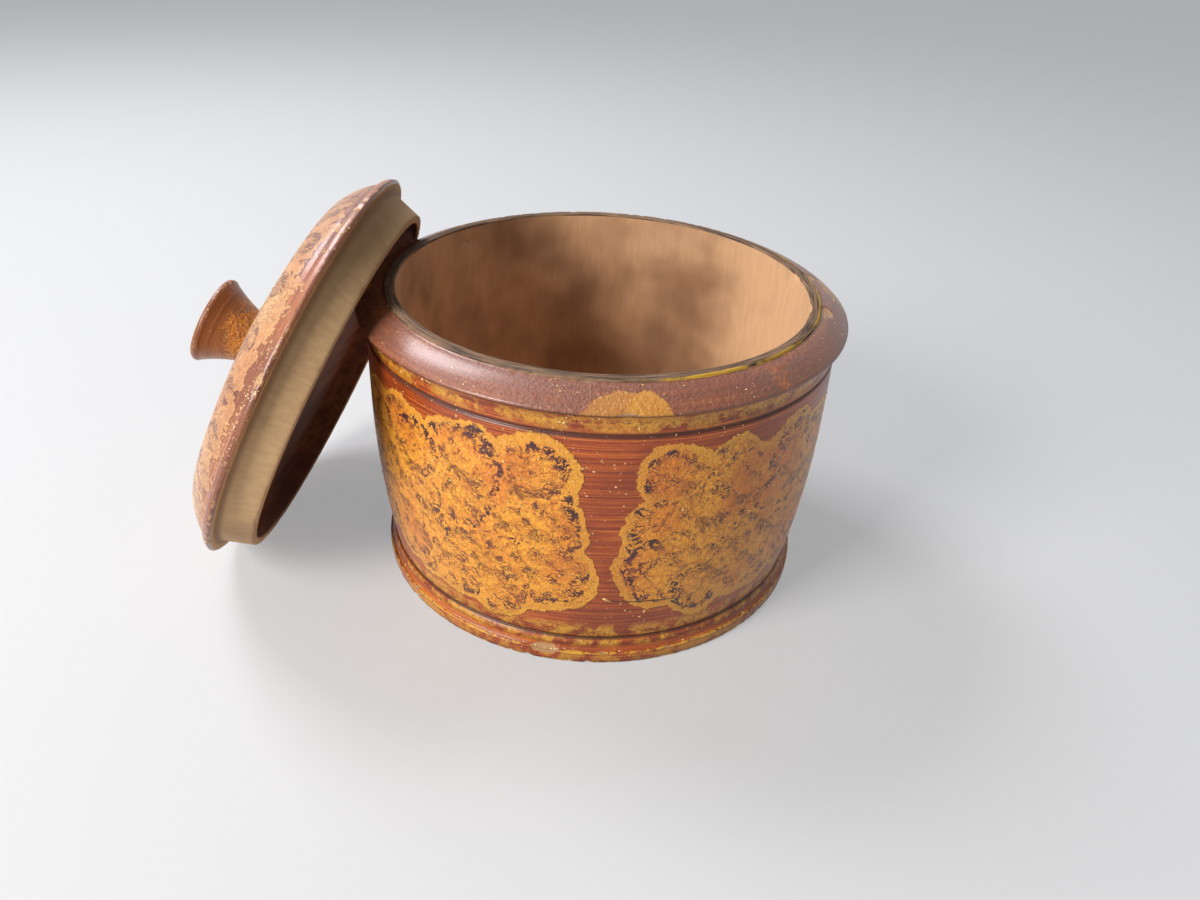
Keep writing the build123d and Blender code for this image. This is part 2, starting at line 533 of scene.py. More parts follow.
@dataclass(frozen=True)
class PaintedWood:
    """Red-brown paint with lobed ochre patches, feathery dark veins, edge wear and varnish."""

    name: str
    tones: PaintTones = PaintTones()
    branches: float = 3.4
    branch_length: float = 4.2 * MM
    curl: float = 4.2 * MM
    wrinkles: float = 380.0
    fray: float = 3.0 * MM
    ragged: float = 4.0 * MM
    petal_tall: float = 7.6 * MM
    petal_sink: float = 1.5 * MM
    petal_drop: float = 9.0 * MM
    petal_fade: float = 2.0 * MM
    petal_half: float = math.radians(8.5)
    petal_count: int = 4
    petal_middle: float = 0.0
    collar_from: float = ABOVE_ALL
    scratch: Optional[Scratch] = None
    coat: float = 0.4
    relief: float = 0.45 * MM

    def sheet(self) -> bpy.types.Material:
        """Build the material, coat by coat.

        Returns:
            The finished material.
        """
        sheet = NodeSheet.of_material(self.name)
        see = PaintMap.of_piece(sheet, self.collar_from)
        ragged = self.ragged_depth(see)
        raised = ragged.rise(-0.2 * MM, 0.2 * MM)
        covered = raised.or_more(self.petals(see)) if self.collar_from < ABOVE_ALL else raised
        veins, dark = self.veins(see, ragged)
        colour = sheet.blend(covered, self.ground(see), self.ochre(see))
        colour = sheet.blend(veins * 0.8, colour, self.tones.vein_soft)
        colour = sheet.blend(dark.or_less(1.0) * 0.95, colour, self.tones.vein)
        colour = self.mouldings(see, colour)
        colour = self.wear(see, colour)
        colour = self.crusted(see, colour)
        if self.scratch:
            colour = sheet.blend(self.scratched(see), colour, self.tones.grime_and_shade)
        rim = ragged.within(0.4 * MM, 0.5 * MM, 0.5 * MM)
        rugged = raised + see.edge * 0.8 + see.band * 0.8
        stipple = see.fleck * (0.25 + rugged + see.collar * 0.4)
        stipple = stipple + see.grit * (0.25 + rugged + see.collar * 1.5)
        height = see.lines * 0.35 + raised * 0.25 + rim * 0.15 + stipple + veins * 0.7
        rough = 0.33 + see.fleck * 0.14 + see.worn * 0.3 + see.sunk * 0.2
        coat = self.coat + see.collar * 0.3
        return sheet.finish(colour, rough, height, self.relief, coat, coat_rough=0.28, specular=0.35)

    def ragged_depth(self, see: PaintMap) -> Wire:
        """Fray the edge of the ochre.

        Args:
            see: What the paint reads.

        Returns:
            How far inside the ochre a place is, in metres, negative outside it.
        """
        crimp = see.sheet.speckle(see.turned, 420.0, 3.0, 0.7) - 0.5
        return see.inside + crimp * self.ragged + (see.rubbed - 0.5) * self.fray

    def ground(self, see: PaintMap) -> Wire:
        """Brush on the ground coat, darker and browner on the collar.

        Args:
            see: What the paint reads.

        Returns:
            The ground's colour.
        """
        blend, tones = see.sheet.blend, self.tones
        colour = blend(see.lines.rise(0.36, 0.54), tones.ground_dark, tones.ground)
        bright = see.lines.rise(0.50, 0.64) * see.broad.rise(0.38, 0.60)
        colour = blend(bright, colour, tones.ground_light)
        colour = blend(see.cloud.rise(0.50, 0.66) * 0.5, colour, tones.ground_dark)
        colour = blend(see.collar * (0.5 + see.cloud * 0.6), colour, tones.collar)
        colour = blend(see.collar * see.grit.rise(0.50, 0.66) * 0.5, colour, tones.ground_dark)
        stained = (see.cloud * 0.5 + see.rubbed * 0.5 + see.lines * 0.3).rise(0.68, 0.86) * 0.4
        colour = blend(see.collar * stained, colour, tones.ochre_deep)
        return blend(see.fleck.rise(0.60, 0.72) * 0.35, colour, tones.ground_light)

    def ochre(self, see: PaintMap) -> Wire:
        """Mottle the ochre, duller along the patches' borders.

        Args:
            see: What the paint reads.

        Returns:
            The ochre's colour.
        """
        blend, tones = see.sheet.blend, self.tones
        colour = blend(see.cloud.rise(0.42, 0.64) * 0.7, tones.ochre, tones.ochre_deep)
        colour = blend(see.grit.rise(0.46, 0.58) * 0.6, colour, tones.ochre_deep)
        colour = blend(see.inside.rise(6.0 * MM, 2.0 * MM) * 0.5, colour, tones.margin)
        return blend(see.fleck.rise(0.60, 0.70) * 0.4, colour, tones.crumb)

    def petals(self, see: PaintMap) -> Wire:
        """Paint the ochre half-ovals on the collar, each a narrow one over a wide one.

        Args:
            see: What the paint reads.

        Returns:
            How much of the ochre there is.
        """
        sheet = see.sheet
        x, y, _ = sheet.split(see.turned)
        half = math.pi / self.petal_count
        angle = y.maths("ARCTAN2", y, x) - self.petal_middle
        across = angle.maths("WRAP", angle, half, -half) / self.petal_half
        along = (see.up - (self.collar_from - self.petal_sink)) / self.petal_tall
        wave = (sheet.speckle(see.turned, 300.0, 4.0, 0.7) - 0.5) * 0.6
        wide = (across * across + along * along + wave).rise(1.02, 0.94)
        aside = (across - 0.55) / 0.62
        narrow = (aside * aside + along * along + wave).rise(1.0, 0.94)
        lowest = self.collar_from - self.petal_drop
        near = see.up.rise(lowest, lowest + self.petal_fade)
        return (wide * 0.42).or_more(narrow * 0.62) * near

    def veins(self, see: PaintMap, ragged: Wire) -> Tuple[Wire, Wire]:
        """Draw the feathery veins in the dabs and the curling wrinkles between them.

        Args:
            see: What the paint reads.
            ragged: How far inside the ochre a place is.

        Returns:
            Where the veins are, and how dark they are there.
        """
        sheet = see.sheet
        push = sheet.vectors("SUBTRACT", sheet.speckle(see.turned, 340.0, 2.0, 0.6, 1), (0.5, 0.5, 0.5))
        drawn, dark = self.fans(sheet, sheet.vectors("MULTIPLY", push, (self.curl, self.curl, 0.0)))
        wrinkled = self.wrinkled(sheet, see.turned) * ragged.rise(0.5 * MM, 3.0 * MM)
        return drawn.or_more(wrinkled * 0.6), dark

    def fans(self, sheet: NodeSheet, curl: Wire) -> Tuple[Wire, Wire]:
        """Draw the branching veins of each dab, from its root out to its rim.

        Args:
            sheet: The node tree.
            curl: A small random push that makes the veins wander.

        Returns:
            Where the veins are, and how dark they are there.
        """
        x, y, chance = sheet.split(sheet.vectors("ADD", sheet.attribute("root"), curl))
        flat = sheet.join(x, y)
        far = sheet.vectors("LENGTH", flat, flat, "Value")
        facing = sheet.vectors("NORMALIZE", flat, flat)
        lift = sheet.join(z=far / self.branch_length + chance * 4000.0)
        depth = sheet.factor("depth")
        shade = sheet.factor("shade")
        stems, twigs = (
            self.fan(sheet, facing, lift, shade, branches, width)
            for branches, width in ((self.branches, 0.034), (self.branches * 2.1, 0.042))
        )
        blot = sheet.speckle(flat, 150.0, 2.0)
        patchy = (blot + shade * 0.30).rise(0.43, 0.57)
        ragged = (depth + (blot - 0.5) * 0.5).rise(0.0, 0.10)
        drawn = stems.or_more(twigs * depth.rise(0.75, 0.40)) * patchy * ragged
        return drawn, drawn * (0.25 + blot.rise(0.44, 0.62) * 0.5 + shade * 1.4)

    def fan(
        self, sheet: NodeSheet, facing: Wire, lift: Wire, shade: Wire, branches: float, width: float
    ) -> Wire:
        """Draw lines that run out from a dab's root.

        Args:
            sheet: The node tree.
            facing: The direction from the root.
            lift: How far along a line a place is.
            shade: How dark the dab's rim is, where lines are wider.
            branches: How closely the lines stand round the root.
            width: Their width as a share of the noise that draws them.

        Returns:
            1 on a line and 0 off it.
        """
        spoke = sheet.vectors("MULTIPLY", facing, (branches, branches, 0.0))
        wave = sheet.speckle(sheet.vectors("ADD", spoke, lift), 1.0, 2.0, 0.55)
        return (abs(wave - 0.5) / (1 + shade * 1.1)).rise(width, width * 0.45)

    def wrinkled(self, sheet: NodeSheet, turned: Wire) -> Wire:
        """Draw fine lines that curl about, where the paint has wrinkled.

        Args:
            sheet: The node tree.
            turned: The place on the piece.

        Returns:
            How dark the lines are, from 0 to 1.
        """
        wave = sheet.speckle(turned, self.wrinkles, 2.0, 0.55)
        patchy = sheet.speckle(turned, 80.0, 2.0).rise(0.38, 0.52)
        return abs(wave - 0.5).rise(0.034, 0.012) * patchy

    def mouldings(self, see: PaintMap, colour: Wire) -> Wire:
        """Pick out the mouldings in ochre, and darken the cut grooves and sunk corners with painted shade.

        Args:
            see: What the paint reads.
            colour: The colour so far.

        Returns:
            The new colour.
        """
        blend, tones = see.sheet.blend, self.tones
        colour = blend(see.band * see.rubbed.rise(0.40, 0.58) * 0.85, colour, tones.margin)
        colour = blend(see.band * see.grit.rise(0.48, 0.60) * 0.6, colour, tones.ground_dark)
        # Painted shade: the sunk grooves and corners, under the ridge, at the foot and round the knob, are
        # darkened.
        return blend(see.sunk * (0.7 + see.rubbed * 0.5), colour, tones.grime_and_shade)

    def wear(self, see: PaintMap, colour: Wire) -> Wire:
        """Wear the edges, down to bare wood where the wood itself is gone.

        Args:
            see: What the paint reads.
            colour: The colour so far.

        Returns:
            The new colour.
        """
        blend, tones = see.sheet.blend, self.tones
        chafe = see.edge * 0.45 + see.grit * 0.45 + see.rubbed * 0.5 + see.cloud * 0.3
        colour = blend(chafe.rise(1.02, 1.10), colour, tones.margin)
        dirt = (see.edge * 0.6 + (1 - see.grit) * 0.6).rise(0.90, 1.0) * 0.8
        colour = blend(dirt, colour, tones.grime_and_shade)
        return blend(see.worn.rise(0.35, 0.7), colour, tones.bare)

    def crusted(self, see: PaintMap, colour: Wire) -> Wire:
        """Dot the paint with pale bubbles and specks.

        Args:
            see: What the paint reads.
            colour: The colour so far.

        Returns:
            The new colour.
        """
        cells = see.sheet.add(
            "ShaderNodeTexVoronoi",
            {"voronoi_dimensions": "3D", "feature": "F1"},
            {"Vector": see.turned, "Scale": 520.0},
        )
        dots = cells.rise(0.26, 0.10) * (see.grit * 0.6 + see.rubbed * 0.6).rise(0.60, 0.72)
        return see.sheet.blend(dots * 0.8, colour, self.tones.crumb)

    def scratched(self, see: PaintMap) -> Wire:
        """Draw the scratch.

        Args:
            see: What the paint reads.

        Returns:
            How dark it is, 0 away from it.
        """
        mark = self.scratch
        wrap = see.sheet.attribute("wrap")
        x, y, _ = see.sheet.split(wrap)
        share = (x - mark.start) / (mark.end - mark.start)
        shake = (see.sheet.speckle(wrap, 160.0, 2.0) - 0.5) * (1.4 * MM)
        line = mark.up - share * mark.fall + shake
        ends = share.rise(0.0, 0.03) * share.rise(1.0, 0.7)
        return (y - line).within(0.0, mark.width / 2, mark.width / 2) * ends * 0.85


@dataclass(frozen=True)
class BareWood:
    """Unpainted turned wood with grain, handling marks, age, painted shade in sunk corners and painted
    light low down where asked.
    """

    name: str
    light: Colour
    dark: Colour
    stain_and_shade: Colour
    grain: Tuple[float, float, float]
    stain_share: float = 0.6
    ring_relief: float = 0.25
    rough: float = 0.62
    relief: float = 0.07 * MM
    painted_light_up_to: float = 0.0

    def sheet(self) -> bpy.types.Material:
        """Build the material.

        Returns:
            The finished material.
        """
        sheet = NodeSheet.of_material(self.name)
        turned = sheet.attribute("turned")
        fibre = self.grained(sheet, turned, 1.0, 4.0, 0.6)
        figure = self.grained(sheet, turned, 0.22, 2.0, 0.5)
        pores = self.grained(sheet, turned, 2.6, 1.0, 0.5)
        blot = sheet.speckle(turned, 17.0, 3.0, 0.55)
        soft = sheet.speckle(sheet.stretched(turned, 30.0, 18.0), 1.0, 3.0)
        rings = sheet.speckle(sheet.stretched(turned, 6.0, 1100.0), 1.0)
        share = self.stained(sheet, turned)
        colour = sheet.blend(fibre.rise(0.34, 0.66), self.dark, self.light)
        colour = sheet.blend(figure.rise(0.45, 0.75) * 0.25, colour, self.dark)
        colour = sheet.blend(pores.rise(0.62, 0.74) * 0.14, colour, self.stain_and_shade)
        colour = sheet.blend(blot.rise(0.42, 0.72) * share, colour, self.stain_and_shade)
        colour = sheet.blend(soft.rise(0.50, 0.72) * share * 0.8, colour, self.stain_and_shade)
        # Painted shade: sunk corners, such as the plug's root, are darkened.
        colour = sheet.blend(sheet.factor("sunk") * 0.8, colour, self.stain_and_shade)
        colour = sheet.blend(sheet.factor("edge") * 0.35, colour, self.stain_and_shade)
        height = fibre * 0.4 + pores * 0.3 + rings * self.ring_relief
        return sheet.finish(colour, self.rough + fibre * 0.12, height, self.relief, specular=0.35)

    def grained(self, sheet: NodeSheet, turned: Wire, fine: float, detail: float, rough: float) -> Wire:
        """Draw a noise that is stretched along the grain.

        Args:
            sheet: The node tree.
            turned: The place on the piece.
            fine: How much finer than the fibres it is.
            detail: Octaves.
            rough: The weight of the finer octaves.

        Returns:
            The noise.
        """
        stretch = tuple(fine * share for share in self.grain)
        return sheet.speckle(sheet.vectors("MULTIPLY", turned, stretch), 1.0, detail, rough)

    def stained(self, sheet: NodeSheet, turned: Wire) -> Any:
        """Tell how strong the stains are, weaker low down as painted light on the floor of the bore.

        Args:
            sheet: The node tree.
            turned: The place on the piece.

        Returns:
            The stains' share, one number where it is the same all over.
        """
        if not self.painted_light_up_to:
            return self.stain_share
        # Painted light: fewer stains low in the bore make its floor lighter.
        high = sheet.split(turned)[2].rise(0.3 * self.painted_light_up_to, self.painted_light_up_to)
        return self.stain_share * (0.35 + 0.65 * high)


@dataclass(frozen=True)
class WornRim:
    """The flat top of the rim, greyed and polished by the lid, with ochre crust on its right."""

    name: str
    light: Colour = linear(140, 110, 84)
    dark: Colour = linear(50, 36, 29)
    dull: Colour = linear(104, 78, 58)
    ochre: Colour = linear(206, 160, 56)
    relief: float = 0.2 * MM

    def sheet(self) -> bpy.types.Material:
        """Build the material.

        Returns:
            The finished material.
        """
        sheet = NodeSheet.of_material(self.name)
        turned = sheet.attribute("turned")
        x, y, _ = sheet.split(turned)
        out = sheet.vectors("LENGTH", sheet.join(x, y), (0.0, 0.0, 0.0), "Value")
        lines = sheet.speckle(sheet.join(x * 60.0, y * 60.0, out * 1600.0), 1.0, 3.0, 0.65)
        blot = sheet.speckle(turned, 60.0, 3.0)
        colour = sheet.blend(lines.rise(0.36, 0.62), self.dark, self.light)
        colour = sheet.blend(blot.rise(0.45, 0.65) * 0.5, colour, self.dull)
        right = x.rise(-40 * MM, 80 * MM)
        crust = sheet.factor("edge") * 0.36 + blot * 0.5 + right * 0.20 + lines * 0.1
        colour = sheet.blend(crust.rise(0.74, 0.82), colour, self.ochre)
        return sheet.finish(colour, 0.58 + lines * 0.2, lines, self.relief, specular=0.3)


@dataclass(frozen=True)
class CrumbFinish:
    """Dried crumbs of pale paint and dust."""

    name: str = "paint_crumb"
    light: Colour = linear(232, 202, 142)
    dark: Colour = linear(184, 128, 58)
    relief: float = 0.1 * MM

    def sheet(self) -> bpy.types.Material:
        """Build the material.

        Returns:
            The finished material.
        """
        sheet = NodeSheet.of_material(self.name)
        place = sheet.add("ShaderNodeTexCoord", output="Object")
        mix = sheet.speckle(place, 260.0)
        fine = sheet.speckle(place, 2600.0)
        colour = sheet.blend(mix.rise(0.40, 0.60), self.light, self.dark)
        return sheet.finish(colour, 0.3 + fine * 0.3, fine, self.relief, coat=0.3)


@dataclass(frozen=True)
class PlainSurface:
    """A surface of one even colour that looks more evenly lit to the camera than it is."""

    name: str
    colour: Colour
    even: float
    glow: Colour = (0.80, 0.81, 0.83)

    def sheet(self) -> bpy.types.Material:
        """Build the material.

        Returns:
            The finished material.
        """
        sheet = NodeSheet.of_material(self.name)
        fleck = sheet.speckle(sheet.add("ShaderNodeTexCoord", output="Object"), 900.0)
        darker = tuple(0.8 * channel for channel in self.colour)
        surface = sheet.add(
            "ShaderNodeBsdfPrincipled",
            inputs={
                "Base Color": sheet.blend(fleck * 0.12, self.colour, darker),
                "Roughness": 0.85,
                "Specular IOR Level": 0.2,
            },
        )
        glow = sheet.add("ShaderNodeEmission", inputs={"Color": self.glow, "Strength": 1.0})
        mixed = sheet.add("ShaderNodeMixShader", inputs={0: sheet.seen() * self.even, 1: surface, 2: glow})
        sheet.add("ShaderNodeOutputMaterial", inputs={"Surface": mixed})
        return sheet.owner


# Turned shapes


class Zone(Enum):
    """The surfaces of the turned pieces, each with its own finish."""

    PAINT = "painted outside"
    RIM = "worn rim"
    BORE = "bare inside"
    UNDER = "bare underside"
    PLUG = "plug and flange face"
    HOLLOW = "hollow of the lid"


class Mark(Enum):
    """What a section's surface can be marked as."""

    EDGE = "edge"
    # Sunk places are darkened with painted shade, and made rougher.
    SUNK = "sunk"
    BAND = "band"
    GRIT = "grit"


@dataclass
class SectionPoint:
    """A point of a turned section, and what its surface is like there."""

    out: float
    up: float
    zone: Zone
    marks: Dict[Mark, float] = field(default_factory=lambda: dict.fromkeys(Mark, 0.0))


def dished(rim: float, apex: float, drop: float, steps: int) -> List[Point]:
    """Return a shallow curve that is level on the axis and falls to its rim.

    Args:
        rim: The rim's radius.
        apex: The height on the axis.
        drop: How much lower the rim is.
        steps: How many stretches it has.

    Returns:
        Points from the axis outwards.
    """
    shares = [step / steps for step in range(steps + 1)]
    return [(rim * share, apex - drop * share ** 2) for share in shares]


@dataclass
class Section:
    """Half a turned section, drawn in millimetres from the middle outwards and back."""

    spacing: float
    points: List[SectionPoint] = field(default_factory=list)
    quarter_bulge: float = 0.29
    mark_core: float = 0.15

    def point(self, out: float, up: float, zone: Zone) -> None:
        """Add one point, with none between it and the last."""
        self.points.append(SectionPoint(out, up, zone))

    def through(self, places: Sequence[Point], zone: Zone) -> None:
        """Add points along places after the last one, at the section's spacing.

        Args:
            places: The way, as close points or corners.
            zone: The zone of the new surface.
        """
        for out, up in places:
            last = self.points[-1]
            run, rise = out - last.out, up - last.up
            steps = max(1, math.ceil(math.hypot(run, rise) / self.spacing))
            for step in range(1, steps + 1):
                share = step / steps
                self.point(last.out + run * share, last.up + rise * share, zone)

    def line(self, out: float, up: float, zone: Zone) -> None:
        """Draw a straight line to a point."""
        self.through([(out, up)], zone)

    def arc(self, out: float, up: float, bulge: float, zone: Zone, steps: int = 6) -> None:
        """Draw an arc that swells to the right of its way.

        Args:
            out: The end's distance from the axis.
            up: The end's height.
            bulge: How far the arc's middle stands off the straight line.
            zone: The zone of the new surface.
            steps: How many stretches the arc has at least.
        """
        last = self.points[-1]
        run, rise = out - last.out, up - last.up
        length = math.hypot(run, rise)
        radius = (length * length / 4 + bulge * bulge) / (2 * abs(bulge))
        half = math.asin(min(1.0, length / 2 / radius))
        side = (rise / length, -run / length)
        count = max(steps, math.ceil(length / self.spacing))
        for step in range(1, count + 1):
            turn = -half + 2 * half * step / count
            along = 0.5 + radius * math.sin(turn) / length
            swell = math.copysign(radius * (math.cos(turn) - math.cos(half)), bulge)
            self.point(
                last.out + run * along + side[0] * swell,
                last.up + rise * along + side[1] * swell,
                zone,
            )

    def quarter(self, out: float, up: float, radius: float, zone: Zone, steps: int = 6) -> None:
        """Draw a quarter round, hollow where its radius is negative.

        Args:
            out: The end's distance from the axis.
            up: The end's height.
            radius: The round's radius.
            zone: The zone of the new surface.
            steps: How many stretches it has at least.
        """
        self.arc(out, up, radius * self.quarter_bulge, zone, steps)

    def mark(self, what: Mark, out: float, up: float, reach: float, strength: float = 1.0) -> None:
        """Mark the surface near a point of the section.

        Args:
            what: The mark.
            out: The point's distance from the axis.
            up: The point's height.
            reach: How far the mark fades out.
            strength: The mark's value at the point itself.
        """
        for point in self.points:
            away = math.hypot(point.out - out, point.up - up)
            near = strength * (1 - smooth(away, self.mark_core * reach, reach))
            point.marks[what] = max(point.marks[what], near)


@dataclass(frozen=True)
class Chip:
    """A place where wood is broken away: its angle, height, width, tallness and depth."""

    angle: float
    up: float
    wide: float
    tall: float
    deep: float


# Pressed decor


@dataclass(frozen=True)
class Dab:
    """One press of the graining pad, in millimetres on the unrolled surface."""

    x: float
    y: float
    reach: float
    facing: float
    shade: float
    rim: bool = False


LOBES = (
    (50, 28, 16), (56, 8, 14), (54, -16, 20), (34, -25, 17), (12, -26, 16), (-8, -19, 17), (-27, -14, 17),
    (-47, -20, 18), (-56, 3, 13), (-49, 24, 15), (-25, 20, 16), (-2, 21, 18), (24, 25, 17),
)


@dataclass(frozen=True)
class Patch:
    """A lobed ochre patch: its outline of pressed lobes, and the smaller dabs that fill it."""

    x: float
    y: float
    flip: int = 1
    shade: float = 1.0
    seed: int = 1
    fill: float = 15.0
    fill_wide: float = 58.0
    fill_tall: float = 30.0
    core_wide: float = 50.0
    core_tall: float = 24.0
    rows: int = 5
    columns: int = 9
    jog: float = 3.0
    swing: float = 25.0

    def outline(self) -> List[Dab]:
        """Press the lobes that shape the patch, each opening outwards.

        Returns:
            The lobes, each given by LOBES as its place and its radius.
        """
        chance = random.Random(self.seed)
        dabs = []
        for x, y, reach in LOBES:
            shift_x, shift_y = chance.uniform(-self.jog, self.jog), chance.uniform(-2.5, 2.5)
            facing = math.degrees(math.atan2(y * 1.7, x)) + chance.uniform(-self.swing, self.swing)
            shade = chance.uniform(0.1, 0.9)
            size = reach * chance.uniform(0.9, 1.08)
            dabs.append(self.placed(x + shift_x, y + shift_y, size, facing, shade, True))
        return dabs

    def filling(self) -> List[Dab]:
        """Press the dabs in the middle of the patch, in loose rows.

        Returns:
            The dabs, in a random order of pressing.
        """
        chance = random.Random(self.seed + 40)
        dabs = []
        for row in range(-(self.rows // 2), self.rows // 2 + 1):
            for column in range(-(self.columns // 2), self.columns // 2 + 1):
                x = (column + 0.5 * (row % 2)) * self.fill + chance.uniform(-self.jog, self.jog)
                y = row * self.fill * 0.8 + chance.uniform(-self.jog, self.jog)
                if (x / self.fill_wide) ** 2 + (y / self.fill_tall) ** 2 < 1:
                    size = self.fill * chance.uniform(0.6, 1.05)
                    facing = chance.uniform(-180, 180)
                    dabs.append(self.placed(x, y, size, facing, chance.uniform(0.0, 0.8)))
        chance.shuffle(dabs)
        return dabs

    def placed(
        self, x: float, y: float, reach: float, facing: float, shade: float, rim: bool = False
    ) -> Dab:
        """Move a dab from the patch's own place to the surface.

        Args:
            x: Its place across the patch.
            y: Its place up the patch.
            reach: Its radius.
            facing: The way it opens, in degrees.
            shade: How dark its rim is.
            rim: Whether it shapes the patch's outline.

        Returns:
            The dab on the surface.
        """
        way = math.radians(facing if self.flip > 0 else 180 - facing)
        return Dab(self.x + x * self.flip, self.y + y, reach, way, shade * self.shade, rim)


@dataclass(frozen=True)
class DabRing:
    """A ring of dabs on a round face: its radius, how many it has, and how large they are."""

    radius: float
    count: int
    reach: float


@dataclass(frozen=True)
class Decor:
    """The ochre and the dabs on a turned piece, unrolled or flat, in the order of pressing."""

    dabs: Tuple[Dab, ...]
    patches: Tuple[Patch, ...] = ()
    around: float = 0.0
    cover: float = 0.0
    halo: float = 0.9
    margin: float = 3.3
    spread: float = 2.0
    wander: float = 1.6
    wander_scale: float = 98.0
    far_outside: float = -50.0

    @classmethod
    def of_patches(cls, patches: Tuple[Patch, ...], around: float) -> "Decor":
        """Lay out patches with their dabs.

        Args:
            patches: The patches.
            around: The distance once round the piece.

        Returns:
            The decor.
        """
        dabs = tuple(dab for patch in patches for dab in patch.filling() + patch.outline())
        return cls(dabs, patches, around)

    @classmethod
    def of_rings(cls, rings: Tuple[DabRing, ...], cover: float, seed: int) -> "Decor":
        """Lay out dabs in rings over a round face that is ochre all over.

        Args:
            rings: The rings.
            cover: The radius of the ochre.
            seed: The seed of the chance in their places.

        Returns:
            The decor.
        """
        chance = random.Random(seed)
        dabs = []
        for ring in rings:
            for number in range(ring.count):
                turn = math.tau * (number + chance.uniform(-0.2, 0.2)) / ring.count
                out = ring.radius + chance.uniform(-2.0, 2.0)
                facing = turn + chance.uniform(-0.9, 0.9)
                size = ring.reach * chance.uniform(0.8, 1.1)
                shade = chance.uniform(0.0, 0.55)
                dabs.append(Dab(out * math.cos(turn), out * math.sin(turn), size, facing, shade))
        return cls(tuple(dabs), cover=cover)

    def away(self, places: np.ndarray, x: float, y: float) -> np.ndarray:
        """Measure from a point to each place, the short way round.

        Args:
            places: The places, two numbers each.
            x: The point's place round the piece.
            y: Its height.

        Returns:
            The way to each place.
        """
        gap = places - np.array((x, y))
        if self.around:
            gap[..., 0] = (gap[..., 0] + self.around / 2) % self.around - self.around / 2
        return gap

    def stray(self, places: np.ndarray) -> np.ndarray:
        """Push places about a little, so that no dab stays a true circle.

        Args:
            places: The places, two numbers each.

        Returns:
            The places, moved.
        """
        x, y = places[:, 0] / self.wander_scale, places[:, 1] / self.wander_scale
        push_x = np.sin(9 * x + 13 * y + 1.0) + np.sin(17 * x - 21 * y) * 0.5
        push_y = np.sin(13 * x - 11 * y + 4.0) + np.sin(19 * x + 17 * y) * 0.5
        return places + np.stack((push_x, push_y), axis=1) * self.wander / 1.5

    def patch_field(self, places: np.ndarray) -> np.ndarray:
        """Measure how far inside the ochre each place is.

        Args:
            places: The places, two numbers each.

        Returns:
            The depth at each place in millimetres, negative outside.
        """
        places = self.stray(places)
        if self.cover:
            return self.cover - np.linalg.norm(places, axis=1)
        depth = np.full(len(places), self.far_outside)
        for dab in self.dabs:
            grown = dab.reach if dab.rim else dab.reach + self.spread
            depth = np.maximum(depth, grown - np.linalg.norm(self.away(places, dab.x, dab.y), axis=1))
        for patch in self.patches:
            middle = self.away(places, patch.x, patch.y)
            core = 1 - np.hypot(middle[:, 0] / patch.core_wide, middle[:, 1] / patch.core_tall)
            depth = np.maximum(depth, core * patch.core_tall)
        return depth

    def inner_reach(self, number: int) -> float:
        """Tell where a dab's veins end. Plain ochre is left outside them, wider on some rim dabs.

        Args:
            number: The dab's number in the order of pressing.

        Returns:
            The radius inside which the dab has veins.
        """
        dab = self.dabs[number]
        share = 0.35 + (number * 0.618) % 1.0
        return dab.reach - self.margin * share if dab.rim else dab.reach

    def dab_fields(
        self, corners: np.ndarray, faces: np.ndarray
    ) -> Tuple[np.ndarray, np.ndarray, np.ndarray]:
        """Give each face to the last dab pressed over it.

        Args:
            corners: The place of each face corner.
            faces: The middle of each corner's face.

        Returns:
            For each corner, the way from the dab's root with the dab's chance number, how far inside
            the dab's rim it lies as a share, and how dark the rim is there.
        """
        corners, faces = self.stray(corners), self.stray(faces)
        root = np.zeros((len(corners), 3))
        depth = np.full(len(corners), -1.0)
        shade = np.zeros(len(corners))
        for number, dab in enumerate(self.dabs):
            inner = self.inner_reach(number)
            mine = np.linalg.norm(self.away(faces, dab.x, dab.y), axis=1) < inner + self.halo
            gap = self.away(corners[mine], dab.x, dab.y)
            way = np.array((math.cos(dab.facing), math.sin(dab.facing)))
            far = np.linalg.norm(gap, axis=1)
            root[mine, :2] = gap + way * inner * 0.55
            root[mine, 2] = number + 1
            depth[mine] = 1 - far / inner
            along = (gap @ way) / np.maximum(far, 0.01)
            rim = np.clip(far / inner, 0, 1) ** 4
            shade[mine] = dab.shade * rim * np.clip(along * 0.8 + 0.4, 0, 1)
        return root, depth, shade


# Turned pieces


@dataclass
class Skin:
    """The points of a turned surface, ring by ring, and what each one carries."""

    verts: List[Vector] = field(default_factory=list)
    turned: List[Vector] = field(default_factory=list)
    wraps: List[Vector] = field(default_factory=list)
    rings: List[List[int]] = field(default_factory=list)
    marks: Dict[str, List[float]] = field(
        default_factory=lambda: {name: [] for name in ("edge", "sunk", "band", "worn", "grit")}
    )


